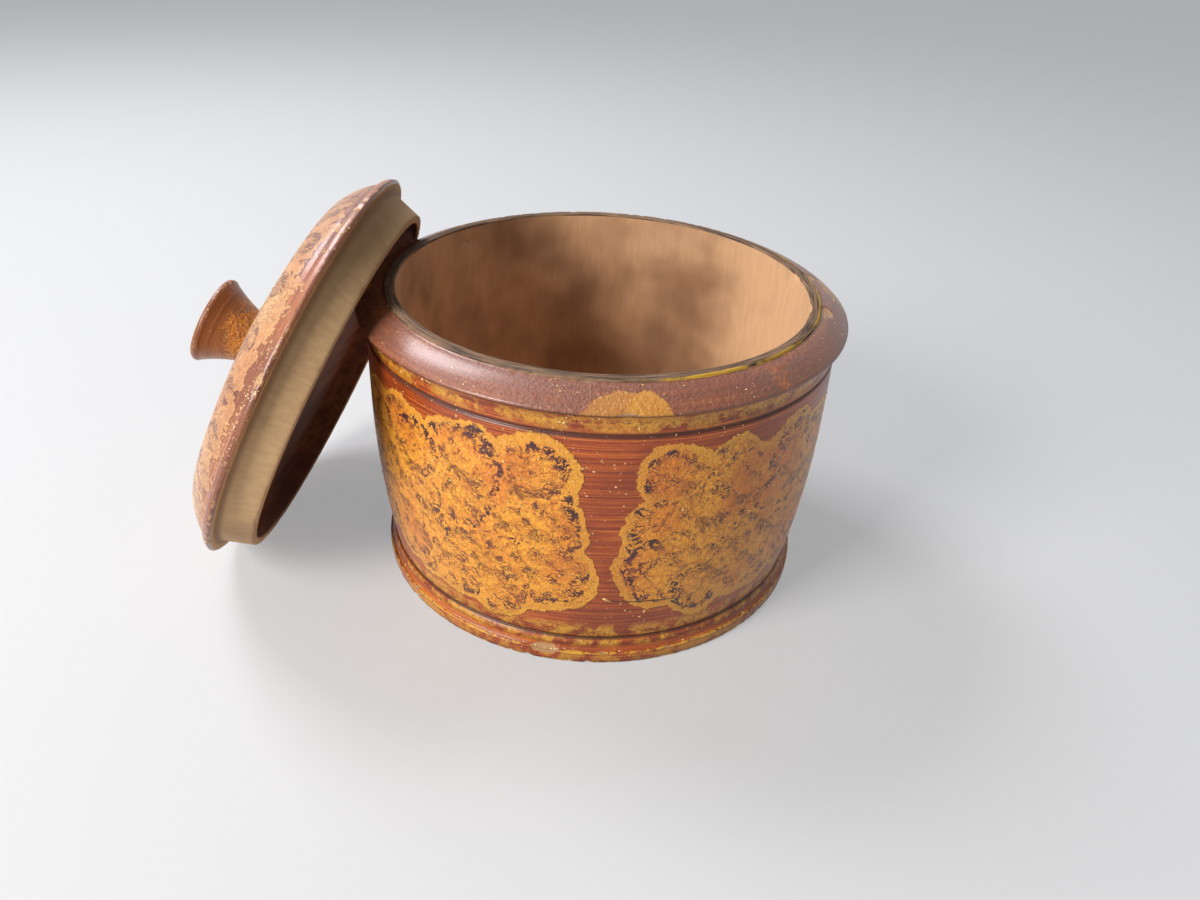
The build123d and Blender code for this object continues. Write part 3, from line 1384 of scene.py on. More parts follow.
@dataclass
class Turning:
    """A turned solid made from a section, with worn edges and chips in its shape.

    Its decor is unrolled at wrap_radius, or laid flat where that is 0. Dabs are pressed from
    decor_from up, and crumbs stick nearer the axis than crumbs_within.
    """

    name: str
    section: Section
    finishes: Dict[Zone, bpy.types.Material]
    place: Matrix
    decor: Decor
    wrap_radius: float = 0.0
    sides: int = 440
    nick_depth: float = 0.55
    nick_least: float = 0.06
    nick_scale: float = 0.22
    bare_below: float = 0.5
    chips: Tuple[Chip, ...] = ()
    decor_from: float = -math.inf
    crumbs_within: float = math.inf
    crumb_room: float = 1.2 * MM
    grit_least: float = 0.10
    clump_least: float = 0.15
    clump_scale: float = 45.0
    seed: float = 0.0

    def loss(self, angle: float, point: SectionPoint) -> float:
        """Tell how far the surface has worn back.

        Args:
            angle: The angle round the axis.
            point: The point of the section.

        Returns:
            The depth that is lost, in millimetres.
        """
        way = Vector((math.cos(angle), math.sin(angle), 0.0))
        at = way * (point.out * self.nick_scale)
        at += Vector((0, 0, point.up * self.nick_scale + self.seed))
        lost = 0.0
        edge = point.marks[Mark.EDGE]
        if edge > 0:
            nick = smooth(noise.noise(at * 1.6) + 0.5 * noise.noise(at * 4.1), 0.12, 0.75)
            lost = edge * (self.nick_least + self.nick_depth * nick)
        for chip in self.chips:
            turn = (math.degrees(angle) - chip.angle + 180) % 360 - 180
            across = math.radians(turn) * point.out / chip.wide * 2
            along = (point.up - chip.up) / chip.tall * 2
            ragged = 1 + 0.3 * noise.noise(at * 5.0)
            lost += chip.deep * (1 - smooth(math.hypot(across, along) * ragged, 0.55, 1.05))
        return lost

    def grit(self, place: Vector, local: Vector, point: SectionPoint) -> float:
        """Tell how many crumbs stick to a point, none where they would stand out of the CAD box.

        Args:
            place: The point in the frame.
            local: The point on the piece.
            point: The point of the section.

        Returns:
            The share of the densest grit.
        """
        room = min(min(place[i] - CAD_BOX[0][i], CAD_BOX[1][i] - place[i]) for i in range(3))
        if point.zone is not Zone.PAINT or room < self.crumb_room or point.out > self.crumbs_within:
            return 0.0
        clump = smooth(noise.noise(local * self.clump_scale + Vector((self.seed, 0, 3))), -0.1, 0.5)
        return (self.grit_least + point.marks[Mark.GRIT]) * (self.clump_least + clump)

    def normals(self) -> List[Point]:
        """Find the outward direction at each point of the section.

        Returns:
            The directions.
        """
        points = self.section.points
        result = []
        for index in range(len(points)):
            before = points[max(0, index - 1)]
            after = points[min(len(points) - 1, index + 1)]
            run, rise = after.out - before.out, after.up - before.up
            length = math.hypot(run, rise) or 1.0
            result.append((rise / length, -run / length))
        return result

    def skin(self) -> Skin:
        """Turn the section's points round the axis.

        Returns:
            The points, in place.
        """
        skin = Skin()
        for point, normal in zip(self.section.points, self.normals()):
            sides = self.sides if point.out > 1e-6 else 1
            skin.rings.append([len(skin.verts) + side for side in range(sides)])
            for side in range(sides):
                angle = math.tau * side / self.sides - math.pi
                lost = self.loss(angle, point) if sides > 1 else 0.0
                out = (point.out - normal[0] * lost) * MM
                up = (point.up - normal[1] * lost) * MM
                local = Vector((out * math.cos(angle), out * math.sin(angle), up))
                spread = Vector((angle * self.wrap_radius * MM, up, 0.0))
                skin.verts.append(self.place @ local)
                skin.turned.append(local)
                skin.wraps.append(spread if self.wrap_radius else local)
                skin.marks["worn"].append(min(1.0, lost / self.bare_below))
                skin.marks["grit"].append(self.grit(skin.verts[-1], local, point))
                for what in (Mark.EDGE, Mark.SUNK, Mark.BAND):
                    skin.marks[what.value].append(point.marks[what])
        return skin

    def faces(self, rings: List[List[int]]) -> Tuple[List[Tuple[int, ...]], List[Zone], List[bool]]:
        """Join the rings of points.

        Args:
            rings: The point numbers of each ring, one where the ring is on the axis.

        Returns:
            The faces, the zone of each, and whether each crosses the seam of the angle.
        """
        faces: List[Tuple[int, ...]] = []
        zones: List[Zone] = []
        seams: List[bool] = []
        for low, high, point in zip(rings, rings[1:], self.section.points[1:]):
            for side in range(self.sides):
                after = (side + 1) % self.sides
                if len(low) == 1:
                    face = (low[0], high[after], high[side])
                elif len(high) == 1:
                    face = (low[side], low[after], high[0])
                else:
                    face = (low[side], low[after], high[after], high[side])
                faces.append(face)
                zones.append(point.zone)
                seams.append(after == 0)
        return faces, zones, seams

    def build(self) -> bpy.types.Object:
        """Make the piece.

        Returns:
            The piece, in place, with its finishes and the attributes that they read.
        """
        skin = self.skin()
        faces, zones, seams = self.faces(skin.rings)
        mesh = bpy.data.meshes.new(self.name)
        mesh.from_pydata(skin.verts, [], faces)
        materials = list(self.finishes)
        for zone in materials:
            mesh.materials.append(self.finishes[zone])
        mesh.polygons.foreach_set("material_index", [materials.index(zone) for zone in zones])
        mesh.polygons.foreach_set("use_smooth", [True] * len(faces))
        keep(mesh, "turned", skin.turned)
        self.keep_decor(mesh, skin.wraps, self.keep_wrap(mesh, skin.wraps, seams))
        for name, values in skin.marks.items():
            keep(mesh, name, values)
        mesh.update()
        face_outwards(mesh)
        return shown(self.name, mesh)

    def keep_wrap(self, mesh: bpy.types.Mesh, wraps: List[Vector], seams: List[bool]) -> np.ndarray:
        """Keep the unrolled place of each face corner, so that it doesn't jump back at the seam.

        Args:
            mesh: The mesh.
            wraps: The unrolled place of each point.
            seams: Whether each face crosses the seam.

        Returns:
            The unrolled place of each corner.
        """
        whole = math.tau * self.wrap_radius * MM
        corners: List[Tuple[float, float, float]] = []
        for polygon in mesh.polygons:
            for corner in polygon.vertices:
                place = wraps[corner]
                over = seams[polygon.index] and place.x < 0
                corners.append((place.x + whole if over else place.x, place.y, place.z))
        keep(mesh, "wrap", corners, "CORNER")
        return np.array(corners)

    def keep_decor(self, mesh: bpy.types.Mesh, wraps: List[Vector], corners: np.ndarray) -> None:
        """Keep what the paint needs to know of the patches and dabs.

        Args:
            mesh: The mesh.
            wraps: The unrolled place of each point.
            corners: The unrolled place of each corner.
        """
        places = np.array([(wrap.x, wrap.y) for wrap in wraps]) / MM
        counts = np.array([len(polygon.vertices) for polygon in mesh.polygons])
        owner = np.repeat(np.arange(len(counts)), counts)
        flat = corners[:, :2] / MM
        middles = np.zeros((len(counts), 2))
        np.add.at(middles, owner, flat)
        middles = (middles / counts[:, None])[owner]
        root, depth, shade = self.decor.dab_fields(flat, middles)
        if not self.wrap_radius:
            depth[corners[:, 2] < self.decor_from * MM] = -1.0
        keep(mesh, "patch", self.decor.patch_field(places) * MM)
        keep(mesh, "depth", depth, "CORNER")
        keep(mesh, "shade", shade, "CORNER")
        keep(mesh, "root", root * MM, "CORNER")


# Small loose things on the paint


@dataclass
class PaintCrumbs:
    """Crumbs scattered by rule over a turned piece, thickest where its grit attribute is high."""

    name: str
    thick: float = 150000.0
    smallest: float = 0.12 * MM
    largest: float = 0.56 * MM
    seed: int = 4

    def tree(self) -> bpy.types.NodeTree:
        """Build the scattering tree.

        Returns:
            The tree, with its sizes as named inputs.
        """
        sheet = NodeSheet.of_scatter(self.name + "_scatter")
        sockets = {
            "Geometry": "NodeSocketGeometry",
            "Crumbs per area": "NodeSocketFloat",
            "Smallest": "NodeSocketFloat",
            "Largest": "NodeSocketFloat",
            "Seed": "NodeSocketInt",
            "Finish": "NodeSocketMaterial",
        }
        for label, kind in sockets.items():
            sheet.tree.interface.new_socket(label, in_out="INPUT", socket_type=kind)
        sheet.tree.interface.new_socket("Geometry", in_out="OUTPUT", socket_type="NodeSocketGeometry")
        given = sheet.add("NodeGroupInput")
        grit = sheet.add("GeometryNodeInputNamedAttribute", {"data_type": "FLOAT"}, {"Name": "grit"})
        points = sheet.add(
            "GeometryNodeDistributePointsOnFaces",
            inputs={
                "Mesh": given,
                "Density": grit * given.beside("Crumbs per area"),
                "Seed": given.beside("Seed"),
            },
        )
        size = sheet.add(
            "FunctionNodeRandomValue",
            {"data_type": "FLOAT"},
            {2: given.beside("Smallest"), 3: given.beside("Largest")},
            1,
        )
        shape = sheet.add(
            "FunctionNodeRandomValue",
            {"data_type": "FLOAT_VECTOR"},
            {0: (0.7, 0.6, 0.5), 1: (1.6, 1.0, 0.9)},
        )
        crumb = sheet.add("GeometryNodeMeshIcoSphere", inputs={"Subdivisions": 1, "Radius": 1.0})
        scale = sheet.add("ShaderNodeVectorMath", {"operation": "SCALE"}, {0: shape, "Scale": size})
        crumbs = sheet.add(
            "GeometryNodeInstanceOnPoints",
            inputs={
                "Points": points,
                "Instance": crumb,
                "Rotation": points.beside("Rotation"),
                "Scale": scale,
            },
        )
        real = sheet.add("GeometryNodeRealizeInstances", inputs={"Geometry": crumbs})
        finish = given.beside("Finish")
        dressed = sheet.add("GeometryNodeSetMaterial", inputs={"Geometry": real, "Material": finish})
        sheet.add("NodeGroupOutput", inputs={"Geometry": dressed})
        return sheet.tree

    def build(self, carrier: bpy.types.Object, finish: bpy.types.Material) -> bpy.types.Object:
        """Scatter the crumbs and make them one plain mesh.

        Args:
            carrier: The turned piece that they stick to.
            finish: Their material.

        Returns:
            The crumbs.
        """
        tree = self.tree()
        holder = shown(self.name + "_ground", carrier.data)
        scatter = holder.modifiers.new("scatter", "NODES")
        scatter.node_group = tree
        values = {
            "Crumbs per area": self.thick,
            "Smallest": self.smallest,
            "Largest": self.largest,
            "Seed": self.seed,
            "Finish": finish,
        }
        for socket in tree.interface.items_tree:
            if socket.in_out == "INPUT" and socket.name in values:
                scatter[socket.identifier] = values[socket.name]
        graph = bpy.context.evaluated_depsgraph_get()
        mesh = bpy.data.meshes.new_from_object(holder.evaluated_get(graph))
        bpy.data.objects.remove(holder)
        mesh.name = self.name
        mesh.polygons.foreach_set("use_smooth", [True] * len(mesh.polygons))
        return shown(self.name, mesh)


@dataclass(frozen=True)
class Splinter:
    """A short sliver of pale wood stuck in the paint."""

    angle: float
    up: float
    long: float = 3.9
    thick: float = 0.55
    tilt: float = math.radians(-24.0)
    lift: float = 0.15
    flatness: float = 0.7
    jag: float = 0.25
    rings: int = 9
    sides: int = 7

    def build(self, wall: float, finish: bpy.types.Material) -> bpy.types.Object:
        """Make the sliver on the wall.

        Args:
            wall: The wall's radius at its height.
            finish: Its material.

        Returns:
            The sliver.
        """
        out = Vector((math.cos(self.angle), math.sin(self.angle), 0.0))
        level = Vector((-out.y, out.x, 0.0))
        along = level * math.cos(self.tilt) + Vector((0, 0, 1)) * math.sin(self.tilt)
        across = out.cross(along)
        middle = out * (wall + self.lift) + Vector((0, 0, self.up))
        verts = []
        for ring in range(self.rings):
            share = ring / (self.rings - 1)
            swell = self.thick * (0.35 + 0.65 * math.sin(math.pi * min(1.0, share * 1.15 + 0.12)))
            for side in range(self.sides):
                turn = math.tau * side / self.sides
                rough = noise.noise(Vector((ring * 1.7, side * 2.3, 4.0)))
                radius = swell * (1 + self.jag * rough)
                place = middle + along * (share - 0.5) * self.long
                place += across * radius * math.cos(turn) + out * radius * self.flatness * math.sin(turn)
                verts.append(place * MM)
        mesh = bpy.data.meshes.new("wall_splinter")
        mesh.from_pydata(verts, [], self.faces())
        mesh.materials.append(finish)
        face_outwards(mesh)
        return shown("wall_splinter", mesh)

    def faces(self) -> List[Tuple[int, ...]]:
        """Join the sliver's rings and close its ends.

        Returns:
            The faces.
        """
        last = (self.rings - 1) * self.sides
        faces = [tuple(range(self.sides)), tuple(range(last, last + self.sides))]
        for low in range(0, last, self.sides):
            high = low + self.sides
            for side in range(self.sides):
                after = (side + 1) % self.sides
                faces.append((low + side, low + after, high + after, high + side))
        return faces


# Sub-assemblies


@dataclass
class Canister:
    """The turned body of the canister."""

    height: float = 126.0
    rim: float = 90.0
    rim_width: float = 4.5
    rim_soft: float = 0.9
    floor: float = 10.0
    bore_corner: float = 7.0
    bore_lip: float = 12.0
    bore_painted_light_up_to: float = 55.0
    ridge: float = 101.7
    ridge_drop: float = 7.4
    ridge_soft: float = 1.1
    ridge_swell: float = 0.814
    ridge_bare: float = 0.8
    collar_bulge: float = 0.9
    collar_overlap: float = 0.6
    cove_height: float = 8.4
    cove_depth: float = 1.1
    cove_lip: float = 0.9
    belly: float = 98.4
    belly_up: float = 76.0
    shoulder: float = 98.0
    waist: float = 92.8
    outside_step: float = 1.25
    wall_step: float = 1.2
    bore_step: float = 4.0
    floor_step: float = 8.0
    under_rings: Tuple[float, ...] = (0.0, 20.0, 60.0)
    line_width: float = 1.4
    line_depth: float = 0.8
    foot: float = 95.7
    foot_edge: float = 5.6
    foot_soft: float = 0.9
    foot_slope_up: float = 2.2
    foot_slope_in: float = 1.9
    foot_bead: float = 3.0
    foot_bead_bulge: float = 0.5
    foot_line: float = 0.9
    foot_line_depth: float = 0.5
    foot_land: float = 13.0
    foot_hollow: float = 1.5
    ochre_hem: float = 6.5
    first_patch: float = math.radians(-132.0)
    patch_up: float = 62.0
    patch_shades: Tuple[float, ...] = (0.9, 1.5, 1.0, 1.2)
    patch_seed: int = 5
    body: str = "canister"
    slot: str = "painted_wood"

    @property
    def ridge_up(self) -> float:
        """Return the ridge's height."""
        return self.height - self.ridge_drop

    @property
    def cove_bottom(self) -> float:
        """Return the height at which the cove under the ridge starts."""
        return self.ridge_up - self.cove_lip - self.cove_height

    @property
    def wall_top(self) -> float:
        """Return the wall's highest point, under the cut line."""
        return self.cove_bottom - self.line_width

    @property
    def slope_top(self) -> float:
        """Return the height at which the foot's slope ends."""
        return self.foot_edge + self.foot_slope_up

    @property
    def bead_top(self) -> float:
        """Return the height at which the foot's bead ends."""
        return self.slope_top + self.foot_bead

    @property
    def wall_bottom(self) -> float:
        """Return the wall's lowest point, over the foot's line."""
        return self.bead_top + self.foot_line

    def section(self) -> Section:
        """Draw the body's section.

        Returns:
            The section from the middle of the foot out, up and down the bore.
        """
        draw = Section(self.outside_step)
        self.draw_foot(draw)
        draw.through(self.wall(), Zone.PAINT)
        self.draw_collar(draw)
        self.draw_bore(draw)
        self.mark_wear(draw)
        return draw

    def draw_foot(self, draw: Section) -> None:
        """Draw the hollow underside, the foot's edge, slope and bead, and the line above it.

        Args:
            draw: The section.
        """
        inner = self.foot - self.foot_land
        for out in (*self.under_rings, inner):
            draw.point(out, self.foot_hollow, Zone.UNDER)
        draw.line(inner + self.foot_hollow, 0.0, Zone.UNDER)
        draw.point(self.foot - self.foot_soft, 0.0, Zone.UNDER)
        draw.quarter(self.foot, self.foot_soft, self.foot_soft, Zone.PAINT)
        draw.line(self.foot, self.foot_edge - self.foot_soft, Zone.PAINT)
        draw.quarter(self.foot - self.foot_soft, self.foot_edge, self.foot_soft, Zone.PAINT)
        draw.line(self.foot - self.foot_slope_in, self.slope_top, Zone.PAINT)
        draw.arc(self.waist, self.bead_top, self.foot_bead_bulge, Zone.PAINT, steps=8)
        draw.arc(self.waist, self.wall_bottom, -self.foot_line_depth, Zone.PAINT)

    def draw_collar(self, draw: Section) -> None:
        """Draw the cut line, the cove, the ridge, the sloping collar and the rim.

        Args:
            draw: The section.
        """
        cove_top = self.ridge_up - self.cove_lip
        ridge_end = self.ridge_up + self.ridge_soft
        mouth = self.rim - self.rim_width
        draw.arc(self.shoulder, self.cove_bottom, -self.line_depth, Zone.PAINT)
        draw.arc(self.ridge - self.ridge_soft, cove_top, -self.cove_depth, Zone.PAINT, steps=10)
        draw.arc(self.ridge - self.ridge_soft / 2, ridge_end, self.ridge_swell, Zone.PAINT)
        draw.arc(self.rim, self.height - self.rim_soft, self.collar_bulge, Zone.PAINT, steps=12)
        draw.quarter(self.rim - self.rim_soft, self.height, self.rim_soft, Zone.RIM)
        draw.line(mouth + self.rim_soft, self.height, Zone.RIM)
        draw.quarter(mouth, self.height - self.rim_soft, self.rim_soft, Zone.RIM)

    def draw_bore(self, draw: Section) -> None:
        """Draw the bore and the floor, with wider steps below the lip that is seen close up.

        Args:
            draw: The section.
        """
        mouth = self.rim - self.rim_width
        draw.line(mouth, self.height - self.bore_lip, Zone.BORE)
        draw.spacing = self.bore_step
        draw.line(mouth, self.floor + self.bore_corner, Zone.BORE)
        draw.quarter(mouth - self.bore_corner, self.floor, -self.bore_corner, Zone.BORE, steps=8)
        draw.spacing = self.floor_step
        draw.line(0.0, self.floor, Zone.BORE)

    def mark_wear(self, draw: Section) -> None:
        """Mark the worn edges, the cut lines and corners that are darkened with painted shade, the
        mouldings picked out in ochre and the gritty places.

        Args:
            draw: The section.
        """
        foot_line_up = self.bead_top + self.foot_line / 2
        cut_line_up = self.cove_bottom - self.line_width / 2
        bead_up = self.slope_top + self.foot_bead / 2
        cove_up = self.cove_bottom + self.cove_height / 2
        gritty_up = self.cove_bottom + self.cove_height * 0.65
        draw.mark(Mark.EDGE, self.rim - 0.2, self.height - 0.4, reach=1.9)
        draw.mark(Mark.EDGE, self.foot - 0.2, self.foot_edge - 0.2, reach=1.8)
        draw.mark(Mark.EDGE, self.foot - 0.2, 0.4, reach=1.8)
        # The SUNK marks below get painted shade in the foot's corner and in the cut lines.
        draw.mark(Mark.SUNK, self.foot, 0.2, reach=2.2, strength=0.6)
        draw.mark(Mark.SUNK, self.shoulder, cut_line_up, reach=1.5)
        draw.mark(Mark.SUNK, self.ridge - 0.6, self.ridge_up - 1.0, reach=1.5)
        draw.mark(Mark.SUNK, self.waist, foot_line_up, reach=1.1)
        draw.mark(Mark.BAND, self.foot, self.foot_edge / 2, reach=4.0, strength=0.7)
        draw.mark(Mark.BAND, self.waist + 0.7, bead_up, reach=2.4)
        draw.mark(Mark.BAND, self.waist, self.wall_bottom + self.ochre_hem / 2, reach=self.ochre_hem)
        draw.mark(Mark.BAND, self.shoulder + 1.0, cove_up, reach=5.2)
        draw.mark(Mark.GRIT, self.shoulder + 1.4, gritty_up, reach=4.6)
        draw.mark(Mark.GRIT, self.foot - 1.0, self.foot_edge + 0.4, reach=1.6)

    def wall(self) -> List[Point]:
        """Draw the barrel wall as two arcs that meet upright where it is widest.

        Returns:
            Points a little apart along the wall, from below.
        """
        places = []
        lower = (self.wall_bottom, self.belly_up, self.waist)
        upper = (self.belly_up, self.wall_top, self.shoulder)
        for bottom, top, narrow in (lower, upper):
            reach = top - bottom
            drop = self.belly - narrow
            radius = (reach * reach + drop * drop) / (2 * drop)
            count = round(reach / self.wall_step)
            for index in range(1, count + 1):
                up = bottom + reach * index / count
                away = up - self.belly_up
                places.append((self.belly - radius + math.sqrt(radius * radius - away * away), up))
        return places

    def finishes(self) -> Dict[Zone, bpy.types.Material]:
        """Make the body's finishes.

        Returns:
            The material of each zone.
        """
        scratch = Scratch(start=-146.0 * MM, end=-112.0 * MM, up=33.6 * MM, fall=2.4 * MM, width=0.5 * MM)
        paint = PaintedWood(
            "painted_canister",
            collar_from=(self.ridge_up - self.collar_overlap) * MM,
            petal_middle=math.radians(-85.0),
            scratch=scratch,
        )
        bore = BareWood(
            "bare_bore",
            light=linear(206, 164, 124),
            dark=linear(199, 157, 118),
            stain_and_shade=linear(116, 78, 54),
            grain=(520.0, 520.0, 60.0),
            stain_share=0.75,
            # The bore's floor is lightened as painted light.
            painted_light_up_to=self.bore_painted_light_up_to * MM,
        )
        under = BareWood(
            "bare_underside",
            light=linear(176, 136, 98),
            dark=linear(138, 98, 68),
            stain_and_shade=linear(80, 54, 40),
            grain=(26.0, 320.0, 320.0),
        )
        return {
            Zone.PAINT: paint.sheet(),
            Zone.RIM: WornRim("worn_rim").sheet(),
            Zone.BORE: bore.sheet(),
            Zone.UNDER: under.sheet(),
        }

    def decor(self) -> Decor:
        """Lay out the patches round the wall, every other one turned about.

        Returns:
            The decor.
        """
        count = len(self.patch_shades)
        pitch = math.tau / count * self.shoulder
        first = self.first_patch * self.shoulder
        patches = tuple(
            Patch(
                first + pitch * number,
                self.patch_up,
                flip=1 - 2 * (number % 2),
                shade=self.patch_shades[number],
                seed=self.patch_seed + number,
            )
            for number in range(count)
        )
        return Decor.of_patches(patches, math.tau * self.shoulder)

    def chips(self) -> Tuple[Chip, ...]:
        """Place the chips in the foot, the ridge and the rim.

        Returns:
            The chips.
        """
        rim_up = self.height - 1.0
        return (
            Chip(-99.5, 5.0, 13.0, 5.0, 0.8),
            Chip(-84.0, self.ridge_up, 9.0, 2.6, 0.7),
            Chip(-12.0, rim_up, 11.0, 3.0, 0.7),
            Chip(12.0, rim_up, 8.0, 2.6, 0.6),
            Chip(140.0, self.ridge_up, 12.0, 3.0, 0.8),
        )

    def build(self, crumb: bpy.types.Material) -> List[bpy.types.Object]:
        """Make, dress and seat the body.

        Args:
            crumb: The finish of crumbs and splinters.

        Returns:
            The finished pieces.
        """
        piece = Turning(
            "canister_turned_body",
            self.section(),
            self.finishes(),
            Matrix.Identity(4),
            self.decor(),
            wrap_radius=self.shoulder,
            chips=self.chips(),
            crumbs_within=self.ridge - self.ridge_bare,
        ).build()
        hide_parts("canister_body")
        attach(piece, self.body)
        crumbs = PaintCrumbs("canister_paint_crumbs").build(piece, crumb)
        sliver = Splinter(math.radians(-85.2), 34.3)
        wall = min(self.wall(), key=lambda place: abs(place[1] - sliver.up))
        splinter = sliver.build(wall[0], crumb)
        for extra in (crumbs, splinter):
            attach(extra, self.body)
        return [piece, crumbs, splinter]


@dataclass
class Lid:
    """The turned lid and its knob, tipped over and standing on the lid's edge."""

    tip: float = math.radians(65.2)
    heading: float = math.radians(176.5)
    flange: float = 88.5
    flange_thick: float = 4.6
    flange_bevel: float = 3.7
    flange_soft: float = 1.2
    shoulder_in: float = 14.6
    shoulder_up: float = 14.6
    shoulder_bulge: float = 0.8
    dome: float = 26.0
    dome_bulge: float = 1.1
    plug_root: float = 82.5
    plug_deep: float = 13.6
    plug_taper: float = 3.0
    plug_wall: float = 3.6
    plug_fillet: float = 2.4
    plug_soft: float = 0.7
    hollow_corner: float = 3.0
    hollow_rise: float = 2.0
    hollow_drop: float = 3.0
    seat: float = 11.5
    hollow_step: float = 2.0
    edge_step: float = 1.2
    dome_step: float = 1.8
    ochre_inset: float = 5.0
    knob: float = 19.0
    knob_up: float = 19.8
    knob_sink: float = 0.4
    knob_neck: float = 10.8
    knob_edge: float = 3.0
    knob_flare: float = 0.8
    knob_soft: float = 0.8
    knob_crown: float = 1.4
    knob_step: float = 1.0
    knob_sides: int = 200
    knob_ochre: float = 14.5
    knob_face: float = 0.6
    body: str = "lid"

    @property
    def knob_top(self) -> float:
        """Return the height of the knob's rounded edge."""
        return self.dome + self.knob_up

    def lid_section(self) -> Section:
        """Draw the lid's section, with the face that sits on the rim at height 0.

        Returns:
            The section from the middle of the hollow out and over the dome.
        """
        plug_end = self.plug_root - self.plug_taper
        hollow = plug_end - self.plug_wall
        plug_soft_up = self.plug_soft - self.plug_deep
        arris = self.flange - self.flange_bevel
        shoulder = self.flange - self.shoulder_in
        fall = self.hollow_rise + self.hollow_drop
        ceiling = dished(hollow - self.hollow_corner, self.hollow_rise, fall, steps=24)
        draw = Section(self.hollow_step)
        draw.point(*ceiling[0], Zone.HOLLOW)
        draw.through(ceiling[1:], Zone.HOLLOW)
        draw.quarter(hollow, -self.hollow_drop - self.hollow_corner, -self.hollow_corner, Zone.HOLLOW)
        draw.spacing = self.edge_step
        draw.line(hollow, plug_soft_up, Zone.HOLLOW)
        draw.quarter(hollow + self.plug_soft, -self.plug_deep, self.plug_soft, Zone.PLUG)
        draw.line(plug_end - self.plug_soft, -self.plug_deep, Zone.PLUG)
        draw.quarter(plug_end, plug_soft_up, self.plug_soft, Zone.PLUG)
        draw.line(self.plug_root, -self.plug_fillet, Zone.PLUG)
        draw.quarter(self.plug_root + self.plug_fillet, 0.0, -self.plug_fillet, Zone.PLUG)
        draw.line(self.flange - self.flange_soft, 0.0, Zone.PLUG)
        draw.quarter(self.flange, self.flange_soft, self.flange_soft, Zone.PAINT)
        draw.arc(arris, self.flange_thick, self.flange_soft / 2, Zone.PAINT)
        draw.arc(shoulder, self.shoulder_up, self.shoulder_bulge, Zone.PAINT, steps=12)
        draw.spacing = self.dome_step
        draw.arc(self.seat, self.dome, self.dome_bulge, Zone.PAINT, steps=30)
        draw.line(0.0, self.dome, Zone.PAINT)
        draw.mark(Mark.EDGE, arris, self.flange_thick, reach=2.0, strength=0.7)
        draw.mark(Mark.EDGE, self.flange - 0.2, self.flange_soft, reach=1.8, strength=0.75)
        draw.mark(Mark.EDGE, plug_end, -self.plug_deep, reach=1.4)
        draw.mark(Mark.GRIT, arris + 1.5, self.flange_thick - 1.5, reach=5.0)
        # Painted shade darkens the plug's root and the knob's seat in the dome.
        draw.mark(Mark.SUNK, self.plug_root + 1.2, -0.6, reach=2.6)
        draw.mark(Mark.SUNK, self.seat, self.dome, reach=1.6)
        return draw

    def knob_section(self) -> Section:
        """Draw the knob's section, standing a little into the dome.

        Returns:
            The section from the middle of its seat out and over its face.
        """
        seat_up = self.dome - self.knob_sink
        wide = self.knob - self.knob_soft
        crown = dished(wide, self.knob_top + self.knob_crown, self.knob_crown, steps=16)
        draw = Section(self.knob_step)
        draw.point(0.0, seat_up, Zone.PAINT)
        draw.line(self.knob_neck, seat_up, Zone.PAINT)
        draw.arc(wide, self.knob_top - self.knob_edge, -self.knob_flare, Zone.PAINT, steps=14)
        draw.arc(wide, self.knob_top, self.knob_soft, Zone.PAINT, steps=8)
        draw.through(crown[-2::-1], Zone.PAINT)
        draw.mark(Mark.EDGE, self.knob, self.knob_top - self.knob_edge / 2, reach=2.4, strength=0.8)
        # Painted shade where the knob's neck stands in the dome.
        draw.mark(Mark.SUNK, self.knob_neck, self.dome, reach=1.5)
        draw.mark(Mark.BAND, self.knob_neck + 2.0, self.dome + 5.0, reach=9.0)
        return draw

    def placing(self) -> Matrix:
        """Tip and turn the lid, and set it where the frame's lid stands.

        Returns:
            The lid's place.
        """
        turn = Matrix.Rotation(self.heading + math.pi, 4, "Z") @ Matrix.Rotation(-self.tip, 4, "Y")
        outline = self.lid_section().points[::3]
        steps = 120
        corners = []
        for step in range(steps):
            angle = math.tau * step / steps
            for point in outline:
                local = Vector((point.out * math.cos(angle), point.out * math.sin(angle), point.up))
                corners.append(turn @ (local * MM))
        low = Vector(min(corner[i] for corner in corners) for i in range(3))
        high = Vector(max(corner[i] for corner in corners) for i in range(3))
        frame_low, frame_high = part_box("lid")
        return Matrix.Translation((frame_low + frame_high - low - high) / 2) @ turn

    def lid_finishes(self) -> Dict[Zone, bpy.types.Material]:
        """Make the lid's finishes.

        Returns:
            The material of each zone.
        """
        # The dome's paint carries a painted sheen.
        paint = PaintedWood("painted_lid", DOME_PAINT_AND_SHEEN, wrinkles=480.0, fray=16.0 * MM, coat=0.7)
        plug = BareWood(
            "bare_plug",
            light=linear(202, 166, 122),
            dark=linear(192, 155, 112),
            stain_and_shade=linear(124, 90, 60),
            grain=(560.0, 560.0, 90.0),
            stain_share=0.35,
        )
        # The hollow's wood is darker and redder than the plug's.
        hollow = BareWood(
            "dark_red_hollow",
            light=linear(150, 96, 66),
            dark=linear(112, 66, 44),
            stain_and_shade=linear(66, 36, 28),
            grain=(240.0, 20.0, 240.0),
        )
        return {Zone.PAINT: paint.sheet(), Zone.PLUG: plug.sheet(), Zone.HOLLOW: hollow.sheet()}

    def chips(self) -> Tuple[Chip, ...]:
        """Place the chips in the lid's edge.

        Returns:
            The chips.
        """
        return (
            Chip(-12.0, 3.0, 4.0, 3.6, 0.7),
            Chip(-7.5, 2.6, 3.0, 3.0, 0.6),
            Chip(-4.0, 3.4, 2.6, 2.6, 0.5),
            Chip(-64.0, 2.6, 7.0, 2.4, 0.45),
            Chip(118.0, 2.8, 10.0, 3.4, 0.7),
        )

